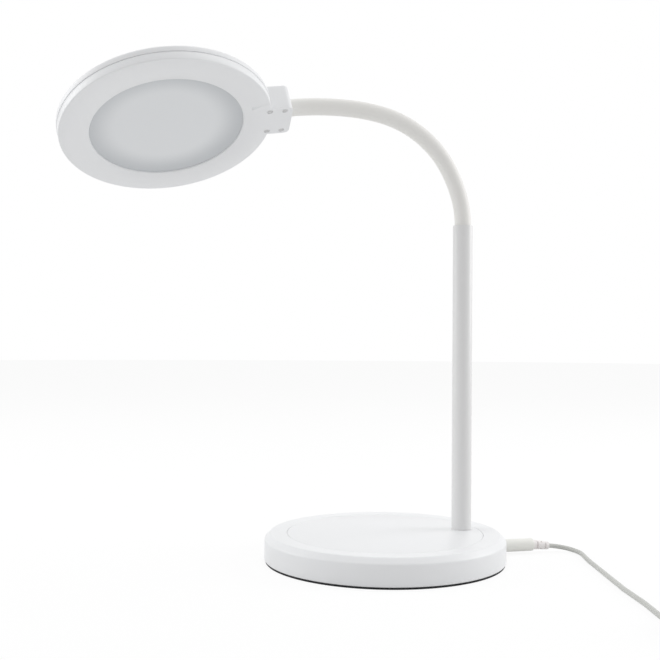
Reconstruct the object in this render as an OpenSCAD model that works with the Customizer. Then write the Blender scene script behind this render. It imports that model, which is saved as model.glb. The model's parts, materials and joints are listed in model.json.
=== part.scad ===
// Desk lamp: a round weighted base, a steel post, a flexible neck and a flat round LED head.
// Millimetres, +Z up. The origin is the centre of the base's underside, on the desk.
// -Y is the front, where the head reaches out. The supply socket is at the back, at +Y.

/* [Base] */
// Outer diameter of the base
base_d = 180; // [176:1:200]
// Height of the base's top face above the desk
base_h = 20.8; // [20.4:0.2:26]
// Width and height of the base's sloped top edge
base_edge = 4; // [2:0.5:5]
// Thickness of the base shell's wall
base_wall = 2.4; // [1.8:0.2:3]
// Thickness of the base shell's roof, under the top panel
roof_t = 2; // [1.6:0.2:2.6]
// Diameter of the top panel that is let into the base
panel_d = 146; // [144:1:160]
// Thickness of the top panel
panel_t = 1.6; // [1.2:0.2:2]
// Thickness of the black foam pad under the base
pad_t = 1.5; // [1:0.1:2]
// How far the pad stays inside the base's outline
pad_inset = 0.8; // [0.4:0.1:3]
// Thickness of the base's bottom cover
cover_t = 2; // [1.6:0.1:2.4]
// Diameter of the steel ballast disc
ballast_d = 156; // [140:1:158]
// Thickness of the steel ballast disc
ballast_t = 4; // [3:0.5:4.5]
// Number of screws that hold the bottom cover
cover_screws = 6; // [3:3:9]

/* [Post] */
// Outer diameter of the post
post_d = 15; // [14:0.5:18]
// Wall of the post's tube
post_wall = 1; // [0.8:0.1:1.2]
// Distance of the post from the base's centre
post_y = 61; // [52:1:61]
// Height of the post's top end above the desk
post_top = 252.5; // [180:0.5:300]
// Diameter of the flange that is welded to the post
flange_d = 30; // [28:1:31]
// Thickness of that flange
flange_t = 2; // [1.5:0.5:2.5]

/* [Neck] */
// Outer diameter of the neck's sleeve
neck_d = 12.5; // [12:0.1:12.8]
// Wall of the neck's sleeve
sleeve_t = 1.1; // [0.8:0.1:1.2]
// Length of one neck segment, from joint to joint
link_len = 22.7; // [20:0.1:28]
// Length of the neck's straight end, up to the head's block
neck_straight = 2.7; // [2:0.1:6]
// Diameter of a neck segment
link_d = 8.2; // [8:0.1:8.4]
// Diameter of the ball at the start of each segment
ball_d = 6.6; // [6.4:0.1:6.8]
// Diameter of the bore for the lead through the neck
lead_bore = 3; // [2.8:0.1:3.2]
// Diameter of the two-core lead inside the lamp
lead_d = 2; // [1.6:0.1:2.2]

/* [Head] */
// Diameter of the front ring of the head
head_d = 151; // [146:1:170]
// How much wider the rear shell is than the front ring, on each side
rear_step = 0.4; // [0.2:0.1:0.6]
// Thickness of the head at its rim
head_t = 11.4; // [11:0.2:14]
// Rise of the rear shell's middle above its rim
dome_h = 2; // [1:0.5:4]
// Radius of the rear shell's outer edge
rear_edge_r = 2; // [1:0.25:2]
// Height of the front bezel's rim
bezel_h = 6.2; // [5.8:0.2:7]
// Diameter of the light window
window_d = 109; // [106:1:111]
// Thickness of the bezel's lip round the window
lip_t = 1.6; // [1.2:0.2:2]
// Thickness of the bezel's face
face_t = 1.8; // [1.8:0.2:2.2]
// Wall of the head's shells
head_wall = 2; // [1.6:0.2:2.2]
// Distance from the neck's end to the centre of the light window
head_reach = 92.5; // [90:0.5:110]
// Turn of the head about the neck's end at rest, 0 is face down
head_roll = 25; // [0:1:45]
// Thickness of the diffuser
diffuser_t = 1.5; // [1:0.1:2]
// Thickness of the LED board
board_t = 1.2; // [1:0.1:1.6]

/* [Joint block] */
// Width of the block that joins the head to the neck
block_w = 30; // [29:0.5:36]
// Height of the block from the head's face
block_h = 21; // [20:0.5:24]
// Height of the neck's axis above the head's face
axis_h = 10.7; // [10:0.1:11]
// Radius of the block's rounded edges
block_r = 3; // [1.5:0.5:4]
// Diameter of the spindle that the head turns on
spindle_d = 8; // [7:0.5:8.5]
// Distance between the block's screws across the neck
screw_across = 22.6; // [22.2:0.1:23]
// Distance between the block's screws along the neck
screw_along = 10.8; // [10:0.2:11.4]

/* [Supply lead] */
// Height of the supply socket's axis above the desk
socket_z = 6.4; // [6.4:0.1:6.8]
// Diameter of the supply plug's grip
plug_d = 9.6; // [8.5:0.1:11]
// Length of the supply plug's grip
plug_len = 29.5; // [24:0.5:32]
// Diameter of the supply lead
cord_d = 3.5; // [3.2:0.1:3.6]

/* [Hidden] */
$fn = 96;

// Clearances: between fixed pieces, at a running fit, of the ball joints and of the seams that show.
fit = 0.3;
running = 0.03;
ball_gap = 0.08;
seam = 0.2;

white = "#f1f2f3";
grey = "#d9d9d6";
black = "#1d1e20";
steel = "#a9adb1";
copper = "#b87333";

// ---- Base: levels and radii ----
wall_in_r = base_d / 2 - base_wall;
cover_top = pad_t + cover_t;
// Room under the ballast for the heads of its screws
under_room = 3;
ballast_z = cover_top + under_room;
ballast_top = ballast_z + ballast_t;
panel_seat_z = base_h - panel_t;
roof_z = panel_seat_z - roof_t;
panel_edge_r = 0.4;
// Radius of the two soft corners of the sloped edge, and how far they reach from the sharp corner
soft_r = 2;
soft_reach = soft_r * tan(22.5);
// The roof's inner corner is rounded, and a little sharper than the sloped edge
roof_edge_r = base_edge - 1;
// How far solids that are drawn apart run into each other to become one
fuse = 0.5;
// How far a cutting solid sticks out of what it cuts
past = 1;
pilot_d = 2.6;
screw_hole_d = pilot_d + 0.6;
boss_d = 7;
cover_boss_r = wall_in_r - boss_d / 2 + 0.6;
head_h = 2.2;
cap_d = 5.4;
screw_bite = 5;
// The ballast hangs on four bosses, at these places
boss_x = 52;
boss_y = 20;
ballast_boss = [for (sx = [-1, 1], sy = [-1, 1]) [sx * boss_x, sy * boss_y]];
flange_hole_r = 11.2;
flange_hole = [for (a = [30, 150, 270]) [flange_hole_r * cos(a), post_y + flange_hole_r * sin(a)]];
// The touch board hangs under the roof, in front of the centre
touch_y = -48;
touch_w = 44;
touch_l = 26;
touch_board_t = 1.2;
touch_stand = 2;
stand_d = 5;
stand_in = 4;
touch_top = roof_z - touch_stand;
foil_d = 26;
foil_t = 0.3;
lead_level = touch_top - touch_board_t / 2;
// Two square chips and a round one under the touch board: centre, size across and along, height
chips = [[0, 0, 8, 6, 1.4], [-13, -5.5, 6, 5, 1.8]];
round_chip = [9, 1, 6, 2];

// ---- Supply socket ----
jack_w = 9;
jack_h = 5.8;
jack_len = 10;
jack_y = wall_in_r - 0.4;
jack_bore = 3.6;
jack_back = 1.2;
rail_t = 2;
barrel_d = 3.5;
barrel_len = 9;
socket_hole_d = barrel_d + 1.2;
pin_d = 1.1;
pin_len = 6;
plug_edge_r = 0.5;
relief_len = 13.5;
relief_droop = 6;
relief_d = 7.2;
relief_end_d = cord_d + 1.4;
// Slots of the relief: first one, step and width along it
slot_start = 2.6;
slot_step = 3.4;
slot_w = 1.4;

// ---- Neck: its sleeve rests along eight arcs in the plane x = 0, its segments are their chords ----
neck_bends = [17, 13, 17, 16, 15, 9, 5.5, 5.2];
link_count = len(neck_bends);
cup_over = 1;
link_gap = 2.7;
// The bore widens by this much on each side towards the back of a ball, so that the lead can bend there
flare = 0.8;
stem_d = 4.8;
tail_d = 6;
tail_len = 5;
ferrule_len = 30;
sleeve_in = 9;
sleeve_out = 1.5;
function bend_r(k) = link_len / (neck_bends[k] * PI / 180);
function neck_a(k) = k == 0 ? 0 : neck_a(k - 1) + neck_bends[k - 1];
function turned(p, a) = [0, p[1] * cos(a) - p[2] * sin(a), p[1] * sin(a) + p[2] * cos(a)];
function arc_step(k, f) =
  let (r = bend_r(k), b = f * neck_bends[k]) [0, -r * (1 - cos(b)), r * sin(b)];
function chord(k) = norm(arc_step(k, 1));
function neck_p(k) =
  k == 0 ? [0, post_y, post_top] : neck_p(k - 1) + turned(arc_step(k - 1, 1), neck_a(k - 1));
link_rings = 6;
sleeve_sides = 32;
function neck_route(before, after) = concat(
  [[0, post_y, post_top - before]],
  [for (k = [0 : link_count - 1], i = [0 : link_rings - 1])
    neck_p(k) + turned(arc_step(k, i / link_rings), neck_a(k))],
  [for (f = [0, after]) neck_p(link_count) + turned([0, 0, f], neck_a(link_count))]
);

// ---- Head: its own frame has the origin at the window's centre, on the face ----
// In that frame +Z points to the rear and +Y to the neck.
head_r = head_d / 2;
rear_r = head_r + rear_step;
window_r = window_d / 2;
block_end = head_reach - neck_straight;
block_len = 18;
block_y = block_end - block_len;
// The hump slopes down from the block to the rear shell
hump_y = block_y - 20;
hump_flat = 5.5;
block_corner_r = 4;
rear_top = head_t - head_wall;
rear_wall = head_wall + 0.4;
// The tongue of the bezel that stands inside the rear shell's wall
tongue_r = rear_r - rear_wall - fit;
tongue_t = 1.7;
tongue_h = 1.8;
bezel_edge = 1;
window_bevel = 0.9;
diffuser_r = window_r + 2;
board_r = window_r - 2.5;
board_z = lip_t + diffuser_t + 3.3;
led_w = 3.5;
led_l = 2.8;
led_h = 0.7;
led_step = 12.5;
led_rings = 3;
plate_t = 0.8;
plate_top = board_z + board_t + plate_t;
board_hole_r = board_r - 7;
board_hole_at = [90, 210, 330];
board_boss_d = 6;
bush_in = 2.4;
bush_y = block_end - bush_in;
bush_len = 8;
bush_d = 13;
seat_w = bush_d + 3.8;
washer_t = 0.5;
spindle_len = 20;
// Thickness of the spindle's end stop, behind the washer
stop_t = 1.6;
screw_y = block_end - 6;
block_screw_d = 2;
block_screw_head = 3.6;
block_screw_hole = block_screw_d + 0.3;
block_boss_d = 5;
// How deep the screws' heads lie in the block's face, and how deep the notch beside the block is
screw_sunk = 1;
notch_depth = 0.9;

// ---- Supply lead: its route on the desk, then a coil, then the far plug ----
// Where the relief ends, worked out from the socket and the plug
plug_y0 = base_d / 2 + 0.2;
relief_y0 = plug_y0 + plug_len;
cord_y0 = relief_y0 + relief_len * cos(relief_droop);
cord_z0 = socket_z - relief_len * sin(relief_droop);
cord_r = cord_d / 2;
coil_lift = 0.9;
coil_x = 218;
coil_y = 138;
coil_out = 24;
coil_pitch = 4;
coil_turns = 2.5;
coil_layers = 4;
coil_rings = 24;
coil_sides = 6;
cord_sides = 8;
// Points of the run from the relief to the coil
run_route = [
  [0, cord_y0, cord_z0], [0.5, 139.5, 4.2], [3, 146, 3.2], [8.5, 150.5, 2.3], [16, 152, 1.9],
  [24, 150.5, 1.8], [33, 148, 1.8], [42, 145.5, 1.8], [51, 143.5, 1.8], [60, 141.5, 1.8], [69, 139.5, 1.8],
  [78, 137.5, 1.8], [87, 135.5, 1.8], [96, 133.5, 1.8], [105, 131.5, 1.8], [114, 129.5, 1.8],
  [123, 127.5, 1.8], [132, 126, 1.8], [141, 124.5, 1.8], [150, 123, 1.8], [159, 121.5, 1.8],
  [168, 119.5, 1.8], [177, 117.5, 1.8], [186, 115.5, 1.8], [195, 114.3, 2], [204, 114, 2.4],
  [coil_x - cord_d - 3, coil_y - coil_out, coil_lift + cord_r],
  [coil_x - cord_d, coil_y - coil_out, coil_lift + cord_r]
];
usb_y = 177;
usb_x0 = 236;
usb_t = 8;
usb_w = 15;
usb_len = 22;
usb_relief_len = 9;
usb_relief_d = 6.4;
usb_shell_len = 15;
usb_shell_w = 12;
usb_shell_h = 4.5;
usb_shell_t = 0.4;
coil_top = coil_lift + cord_r + (coil_layers - 1) * coil_pitch;
// Points of the tail from the coil's top layer down to the far plug
tail_route = [
  [coil_x + cord_d, coil_y - coil_out, coil_top], [coil_x + cord_d + 3, coil_y - coil_out, coil_top],
  [233, 114.3, 14.4], [241, 117.5, 13], [247, 123.5, 10.8], [250.5, 131.5, 8.4], [252, 140, 6.2],
  [252, 149, 4.8], [250.5, 158, 4.2], [247, 166, 4], [242.5, 173, 4],
  [usb_x0 + 3, usb_y - 0.6, usb_t / 2], [usb_x0, usb_y, usb_t / 2]
];

// ---- Helpers ----
module at_joint(k) translate(neck_p(k)) rotate([neck_a(k), 0, 0]) children();
module at_head() {
  translate(neck_p(link_count)) rotate([neck_a(link_count) - 90, 0, 0]) rotate([0, -head_roll, 0])
    translate([0, -head_reach, -axis_h]) children();
}
// Turns a solid drawn along +Z to lie along +Y
module along_y() rotate([-90, 0, 0]) children();
module screw(d, length, cap_d, cap_h) {
  cylinder(d = cap_d, h = cap_h);
  translate([0, 0, cap_h]) cylinder(d = d, h = length);
}
// Half section of a round shell: radius, height, rounded edge and domed middle
module shell_section(r, h, edge, dome) {
  flat_r = r - edge;
  dome_r = (flat_r * flat_r + dome * dome) / (2 * dome);
  square([r, h - edge]);
  square([flat_r, h]);
  translate([flat_r, h - edge]) circle(edge);
  intersection() {
    translate([0, h + dome - dome_r]) circle(dome_r, $fn = 360);
    translate([0, h - 0.01]) square([flat_r, dome + 0.02]);
  }
}
// Sweeps along points. The rings have n points each, and their first side is kept level or is given.
function unit(v) = v / norm(v);
function tangent(p, i) = unit(p[min(i + 1, len(p) - 1)] - p[max(i - 1, 0)]);
function ring_at(p, i, r, n, side) =
  let (t = tangent(p, i), s = is_undef(side) ? unit(cross(t, [0, 0, 1])) : side, u = cross(s, t))
  [for (j = [0 : n - 1]) p[i] + r * cos(360 * (j + 0.5) / n) * s + r * sin(360 * (j + 0.5) / n) * u];
function skin(m, n, first) = [for (i = [0 : m - 2], j = [0 : n - 1])
  let (a = first + i * n + j, b = first + i * n + (j + 1) % n) each [[a, a + n, b], [b, a + n, b + n]]];
function flipped(faces) = [for (f = faces) [f[2], f[1], f[0]]];
module tube(p, d, n, side = undef) {
  m = len(p);
  start = [for (j = [1 : n - 2]) [0, j, j + 1]];
  end = [for (j = [1 : n - 2]) [(m - 1) * n, (m - 1) * n + j + 1, (m - 1) * n + j]];
  polyhedron(
    points = [for (i = [0 : m - 1]) each ring_at(p, i, d / 2, n, side)],
    faces = concat(skin(m, n, 0), start, end),
    convexity = 10
  );
}
module pipe(p, d, wall, n, side) {
  m = len(p);
  outer = [for (i = [0 : m - 1]) each ring_at(p, i, d / 2, n, side)];
  inner = [for (i = [0 : m - 1]) each ring_at(p, i, d / 2 - wall, n, side)];
  start = [for (j = [0 : n - 1]) let (b = (j + 1) % n) each [[j, b, m * n + j], [b, m * n + b, m * n + j]]];
  end = [for (f = flipped(start)) f + (m - 1) * n * [1, 1, 1]];
  polyhedron(
    points = concat(outer, inner),
    faces = concat(skin(m, n, 0), flipped(skin(m, n, m * n)), start, end),
    convexity = 10
  );
}
// Rounds the corners of a route
function rounded(p, r) = concat(
  [p[0]],
  [for (i = [1 : len(p) - 2]) let (a = unit(p[i - 1] - p[i]), b = unit(p[i + 1] - p[i]))
    for (t = [0 : 0.25 : 1]) p[i] + r * ((1 - t) * (1 - t) * a + t * t * b)],
  [p[len(p) - 1]]
);

// ---- Base ----
module base_holes_z(d) {
  for (i = [0 : cover_screws - 1])
    rotate(360 * i / cover_screws) translate([cover_boss_r, 0]) circle(d = d);
}
// Half section of a disc with a rounded top edge
module disc_section(r, h, edge) {
  square([r, h - edge]);
  square([r - edge, h]);
  translate([r - edge, h - edge]) circle(edge);
}
// Half section of a disc whose top edge slopes at 45 degrees between two soft corners
module sloped_section(r, h, edge) {
  low = [r - soft_r, h - edge - soft_reach];
  high = [r - edge - soft_reach, h - soft_r];
  slope = soft_r * [cos(45), sin(45)];
  polygon([[0, 0], [r, 0], [r, low[1]], low + slope, high + slope, [high[0], h], [0, h]]);
  translate(low) circle(soft_r);
  translate(high) circle(soft_r);
}
module shell_solid() {
  difference() {
    translate([0, 0, pad_t]) rotate_extrude() sloped_section(base_d / 2, base_h - pad_t, base_edge);
    rotate_extrude() disc_section(wall_in_r, roof_z, roof_edge_r);
    translate([0, 0, panel_seat_z]) cylinder(d = panel_d + 2 * seam, h = panel_t + past);
  }
}
module base_shell() color(white) difference() {
  union() {
    shell_solid();
    intersection() {
      translate([0, 0, cover_top]) linear_extrude(roof_z - cover_top + fuse) base_holes_z(boss_d);
      cylinder(r = wall_in_r + fuse, h = base_h);
    }
    for (p = ballast_boss)
      translate([p[0], p[1], ballast_top]) cylinder(d = boss_d, h = roof_z - ballast_top + fuse);
    for (sx = [-1, 1], sy = [-1, 1])
      translate([sx * (touch_w / 2 - stand_in), touch_y + sy * (touch_l / 2 - stand_in), touch_top])
        cylinder(d = stand_d, h = touch_stand + fuse);
    // Rails on both sides of the socket
    for (sx = [-1, 1])
      translate([sx * (jack_w + rail_t) / 2 - rail_t / 2, jack_y - jack_len, cover_top])
        cube([rail_t, jack_len + 1, roof_z - cover_top + fuse]);
  }
  translate([0, post_y, ballast_top]) cylinder(d = post_d + 2 * seam, h = base_h);
  translate([0, 0, cover_top - past]) linear_extrude(roof_z - cover_top) base_holes_z(pilot_d);
  for (p = ballast_boss)
    translate([p[0], p[1], ballast_top - past]) cylinder(d = pilot_d, h = roof_z - ballast_top);
  translate([0, wall_in_r - 2 * past, socket_z]) along_y()
    cylinder(d = socket_hole_d, h = base_wall + 4 * past);
}
module top_panel() color(white) difference() {
  translate([0, 0, panel_seat_z]) rotate_extrude() disc_section(panel_d / 2, panel_t, panel_edge_r);
  translate([0, post_y, panel_seat_z - past]) cylinder(d = post_d + 2 * seam, h = panel_t + 2 * past);
}
module base_pad() color(black) cylinder(r = base_d / 2 - pad_inset, h = pad_t);
module bottom_cover() color(black) difference() {
  translate([0, 0, pad_t]) cylinder(r = wall_in_r - fit, h = cover_t);
  translate([0, 0, pad_t - past]) linear_extrude(cover_t + 2 * past) base_holes_z(screw_hole_d);
  translate([0, 0, pad_t - past]) linear_extrude(cover_t / 2 + past) base_holes_z(cap_d + 2 * fit);
}
module cover_screws() color(steel)
  for (i = [0 : cover_screws - 1]) rotate(360 * i / cover_screws) translate([cover_boss_r, 0, pad_t])
    screw(pilot_d, cover_t / 2 + screw_bite, cap_d, cover_t / 2);
module ballast_disc() color(steel) difference() {
  translate([0, 0, ballast_z]) cylinder(d = ballast_d, h = ballast_t);
  for (p = concat(ballast_boss, flange_hole)) translate([p[0], p[1], ballast_z - past])
    cylinder(d = screw_hole_d, h = ballast_t + 2 * past);
  // Room for the socket and its rails
  translate([-jack_w / 2 - rail_t - past, jack_y - jack_len - past, ballast_z - past])
    cube([jack_w + 2 * (rail_t + past), 2 * jack_len, ballast_t + 2 * past]);
}
module ballast_screws() color(steel)
  for (p = ballast_boss) translate([p[0], p[1], ballast_z - head_h])
    screw(pilot_d, ballast_t + screw_bite, cap_d, head_h);

// ---- Electronics in the base ----
module touch_board() color("#2d6b4a")
  translate([-touch_w / 2, touch_y - touch_l / 2, touch_top - touch_board_t])
    cube([touch_w, touch_l, touch_board_t]);
module board_chips() color(black) translate([0, touch_y, touch_top - touch_board_t]) {
  for (c = chips) translate([c[0] - c[2] / 2, c[1] - c[3] / 2, -c[4]]) cube([c[2], c[3], c[4]]);
  translate([round_chip[0], round_chip[1], -round_chip[3]]) cylinder(d = round_chip[2], h = round_chip[3]);
}
module touch_foil() color(copper) translate([0, touch_y, roof_z - foil_t]) cylinder(d = foil_d, h = foil_t);
module dc_jack() color(black) difference() {
  translate([-jack_w / 2, jack_y - jack_len, socket_z - jack_h / 2]) cube([jack_w, jack_len, jack_h]);
  translate([0, jack_y - jack_len + jack_back, socket_z]) along_y() cylinder(d = jack_bore, h = jack_len);
}
module jack_pin() color(steel)
  translate([0, jack_y - jack_len + jack_back, socket_z]) along_y() cylinder(d = pin_d, h = pin_len);
module jack_lead() color(black) tube(rounded([
  [0, jack_y - jack_len + 3.6, socket_z + jack_h / 2], [0, jack_y - jack_len - 1, lead_level + 0.5],
  [post_d + 1, post_y + 6, lead_level + 0.5], [post_d, post_y - 26, lead_level + 0.5],
  [6, touch_y + touch_l / 2 + 12, lead_level], [6, touch_y + touch_l / 2, lead_level]
], 4), lead_d, 8);

// ---- Post ----
module post_tube() color(white) difference() {
  translate([0, post_y, ballast_top]) cylinder(d = post_d, h = post_top - ballast_top);
  translate([0, post_y, ballast_top - past]) cylinder(d = post_d - 2 * post_wall, h = post_top);
  // Hole towards the front, where the lead comes in
  translate([0, post_y, lead_level]) rotate([90, 0, 0]) cylinder(d = lead_d + 0.8, h = post_d, $fn = 48);
}
module post_flange() color(steel) difference() {
  translate([0, post_y, ballast_top]) cylinder(d = flange_d, h = flange_t);
  translate([0, post_y, ballast_top - past]) cylinder(d = post_d, h = flange_t + 2 * past);
  for (p = flange_hole)
    translate([p[0], p[1], ballast_top - past]) cylinder(d = pilot_d, h = flange_t + 2 * past);
}
module flange_screws() color(steel)
  for (p = flange_hole) translate([p[0], p[1], ballast_z - head_h])
    screw(pilot_d, ballast_t + flange_t, cap_d, head_h);
module post_lead() color(black) tube(rounded([
  [0, touch_y + touch_l / 2, lead_level], [0, post_y, lead_level], [0, post_y, post_top - ferrule_len]
], 6), lead_d, 8, [1, 0, 0]);
module neck_ferrule() color(steel) translate([0, post_y, post_top]) difference() {
  union() {
    translate([0, 0, -ferrule_len]) cylinder(d = post_d - 2 * post_wall, h = ferrule_len - sleeve_in);
    translate([0, 0, -ferrule_len]) cylinder(d = link_d, h = ferrule_len + cup_over);
  }
  translate([0, 0, -ferrule_len - past]) cylinder(d = lead_bore, h = ferrule_len + 2 * past);
  sphere(d = ball_d + 2 * ball_gap);
}

// ---- Neck ----
module neck_link(k) color(steel) at_joint(k) rotate([neck_bends[k] / 2, 0, 0]) {
  last = k == link_count - 1;
  length = chord(k);
  difference() {
    union() {
      sphere(d = ball_d);
      cylinder(d = stem_d, h = link_gap + fuse);
      translate([0, 0, link_gap])
        cylinder(d = link_d, h = length - link_gap + (last ? -seam : cup_over));
    }
    translate([0, 0, -ball_d]) cylinder(d = lead_bore, h = length + 2 * ball_d);
    translate([0, 0, -ball_d / 2]) cylinder(d1 = lead_bore + 2 * flare, d2 = lead_bore, h = ball_d / 2);
    if (!last) translate([0, 0, length]) sphere(d = ball_d + 2 * ball_gap);
    if (last) translate([0, 0, length]) rotate([neck_bends[k] / 2, 0, 0])
      translate([0, 0, -tail_len]) cylinder(d = tail_d, h = 2 * tail_len);
  }
}
module neck_link_1() neck_link(0);
module neck_link_2() neck_link(1);
module neck_link_3() neck_link(2);
module neck_link_4() neck_link(3);
module neck_link_5() neck_link(4);
module neck_link_6() neck_link(5);
module neck_link_7() neck_link(6);
module neck_link_8() neck_link(7);
module neck_sleeve() color(white)
  pipe(neck_route(sleeve_in, neck_straight + sleeve_out), neck_d, sleeve_t, sleeve_sides, [1, 0, 0]);
module neck_lead() color(black) tube(rounded(concat(
  [[0, post_y, post_top - ferrule_len]],
  [for (k = [0 : link_count]) neck_p(k)],
  [neck_p(link_count) + turned([0, 0, spindle_len], neck_a(link_count))]
), 5), lead_d, 8, [1, 0, 0]);
module swivel_spindle() color(steel) at_joint(link_count) difference() {
  union() {
    translate([0, 0, -tail_len]) cylinder(d = tail_d, h = tail_len + fuse);
    cylinder(d = spindle_d, h = spindle_len);
    translate([0, 0, neck_straight + bush_in + bush_len + washer_t + running])
      cylinder(d = bush_d, h = stop_t);
  }
  translate([0, 0, -tail_len - past]) cylinder(d = lead_bore, h = spindle_len + tail_len + 2 * past);
}

// ---- Head ----
module block_plan() {
  // Outline of the block on the head's face, rounded at the neck's end
  w = block_w / 2;
  r = block_corner_r;
  translate([-w, hump_y]) square([2 * w, block_end - hump_y - r]);
  translate([-w + r, hump_y]) square([2 * (w - r), block_end - hump_y]);
  for (sx = [-1, 1]) translate([sx * (w - r), block_end - r]) circle(r);
}
module block_side() {
  // Side view of the block, Y across and Z up
  translate([block_y, face_t]) square([block_end - block_y, block_h - face_t - block_r]);
  translate([block_y, face_t]) square([block_end - block_y - block_r, block_h - face_t]);
  translate([block_end - block_r, block_h - block_r]) circle(block_r);
  polygon([
    [block_y + fuse, head_t - fuse], [block_y + fuse, block_h], [block_y - hump_flat, block_h],
    [hump_y, head_t + fuse], [hump_y, head_t - fuse]
  ]);
}
module block_front() {
  // View of the block along the neck
  w = block_w / 2;
  translate([-w, 0]) square([2 * w, block_h - block_r]);
  translate([-w + block_r, 0]) square([2 * (w - block_r), block_h]);
  for (sx = [-1, 1]) translate([sx * (w - block_r), block_h - block_r]) circle(block_r);
}
module block_outer() intersection() {
  translate([0, 0, face_t]) linear_extrude(block_h) block_plan();
  translate([-block_w, 0, 0]) rotate([90, 0, 90]) linear_extrude(2 * block_w) block_side();
  rotate([90, 0, 0]) translate([0, 0, -block_end - past]) linear_extrude(block_end) block_front();
}
module block_inner() {
  // Hollow of the block and the hump, with walls as thick as the rear shell's
  w = block_w / 2 - rear_wall;
  top = block_h - rear_wall;
  slope_end = hump_y + hump_flat;
  sill_y = block_y + 1.5;
  sill_z = 3;
  translate([-w, 0, 0]) rotate([90, 0, 90]) linear_extrude(2 * w) polygon([
    [bush_y, face_t - past], [bush_y, top], [block_y - hump_flat + 1, top], [slope_end, head_t],
    [slope_end, sill_z], [sill_y, sill_z], [sill_y, face_t - past]
  ]);
}
module block_screw_places() {
  for (sx = [-1, 1], n = [0, 1])
    translate([sx * screw_across / 2, screw_y - n * screw_along, 0]) children();
}
module swivel_seat(z0, z1, end) {
  // Half of the seat that holds the bush, up to the given end
  start = bush_y - bush_len;
  difference() {
    translate([-seat_w / 2, start, z0]) cube([seat_w, end - start, z1 - z0]);
    translate([0, start - past, axis_h]) along_y() cylinder(d = bush_d, h = bush_len + 2 * past);
  }
}
module rear_shell() color(white) at_head() difference() {
  union() {
    difference() {
      union() {
        rotate_extrude() intersection() {
          shell_section(rear_r, head_t, rear_edge_r, dome_h);
          translate([0, bezel_h + seam]) square([rear_r + past, head_t + dome_h]);
        }
        block_outer();
      }
      rotate_extrude() shell_section(rear_r - rear_wall, rear_top, rear_edge_r, dome_h);
      block_inner();
    }
    intersection() {
      block_screw_places() translate([0, 0, face_t])
        cylinder(d = block_boss_d, h = block_h - rear_wall + fuse - face_t);
      translate([-block_w / 2 + 1, block_y - block_boss_d, 0])
        cube([block_w - 2, block_len + block_boss_d - 1, block_h]);
    }
    swivel_seat(axis_h + seam / 2, block_h - rear_wall + fuse, bush_y + fuse);
    for (a = board_hole_at) rotate(a) translate([board_hole_r, 0, plate_top])
      cylinder(d = board_boss_d, h = rear_top - plate_top + fuse + 1);
  }
  block_screw_places() translate([0, 0, face_t - past]) cylinder(d = block_screw_d, h = 8);
  for (a = board_hole_at) rotate(a) translate([board_hole_r, 0, plate_top - past])
    cylinder(d = block_screw_d, h = 1.6 + past);
  translate([0, bush_y - past, axis_h]) along_y() cylinder(d = spindle_d + 2 * fit, h = bush_in + 2 * past);
  // Hole in the block's end for the neck's sleeve
  translate([0, block_end - sleeve_out - fit, axis_h]) along_y()
    cylinder(d = neck_d + 2 * fit, h = sleeve_out + 2 * past);
}
module bezel_section() {
  // Half section of the ring: face, window lip with its bevel, rim wall and inner tongue
  polygon([
    [window_r + window_bevel, 0], [head_r - bezel_edge, 0], [head_r, bezel_edge], [head_r, bezel_h],
    [tongue_r, bezel_h], [tongue_r, bezel_h + tongue_h],
    [tongue_r - tongue_t, bezel_h + tongue_h], [tongue_r - tongue_t, face_t],
    [diffuser_r + seam, face_t], [diffuser_r + seam, lip_t], [window_r, lip_t], [window_r, window_bevel]
  ]);
}
module front_bezel() color(white) at_head() difference() {
  union() {
    difference() {
      rotate_extrude() bezel_section();
      // Room for the rear half of the joint block
      translate([-block_w / 2 - seam, block_y - seam, face_t])
        cube([block_w + 2 * seam, block_len, bezel_h + tongue_h]);
      block_screw_places() translate([0, 0, face_t])
        cylinder(d = block_boss_d + 2 * fit, h = bezel_h + tongue_h);
      // Way for the lead
      translate([-lead_d, block_y - block_len / 2, face_t])
        cube([2 * lead_d, block_len, bezel_h + tongue_h]);
    }
    linear_extrude(face_t) difference() {
      block_plan();
      circle(r = tongue_r - tongue_t);
    }
    swivel_seat(face_t - fuse, axis_h - seam / 2, bush_y - seam);
  }
  block_screw_places() {
    translate([0, 0, -past]) cylinder(d = block_screw_hole, h = face_t + 2 * past);
    translate([0, 0, -past]) cylinder(d = block_screw_head + 0.4, h = screw_sunk + past);
  }
  // Small moulded notch beside the block
  translate([0, 0, -past]) linear_extrude(notch_depth + past) polygon([
    [block_w / 2 + 0.2, block_y + 1], [block_w / 2 + 1.2, block_y + 1], [block_w / 2 + 3, block_y - 11],
    [block_w / 2 + 2.2, block_y - 13], [block_w / 2 + 1, block_y - 12]
  ]);
}
module diffuser() color("#e9ebec")
  at_head() translate([0, 0, lip_t]) cylinder(r = diffuser_r, h = diffuser_t);
module reflector() color(white) at_head() rotate_extrude() polygon([
  [diffuser_r - 1.2, lip_t + diffuser_t], [diffuser_r, lip_t + diffuser_t],
  [board_r - 0.6, board_z], [board_r - 1.8, board_z]
]);
module led_board() color("#e4e6e8") at_head() difference() {
  translate([0, 0, board_z]) cylinder(r = board_r, h = board_t);
  for (a = board_hole_at) rotate(a) translate([board_hole_r, 0, board_z - past])
    cylinder(d = block_screw_hole, h = board_t + 2 * past);
}
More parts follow.
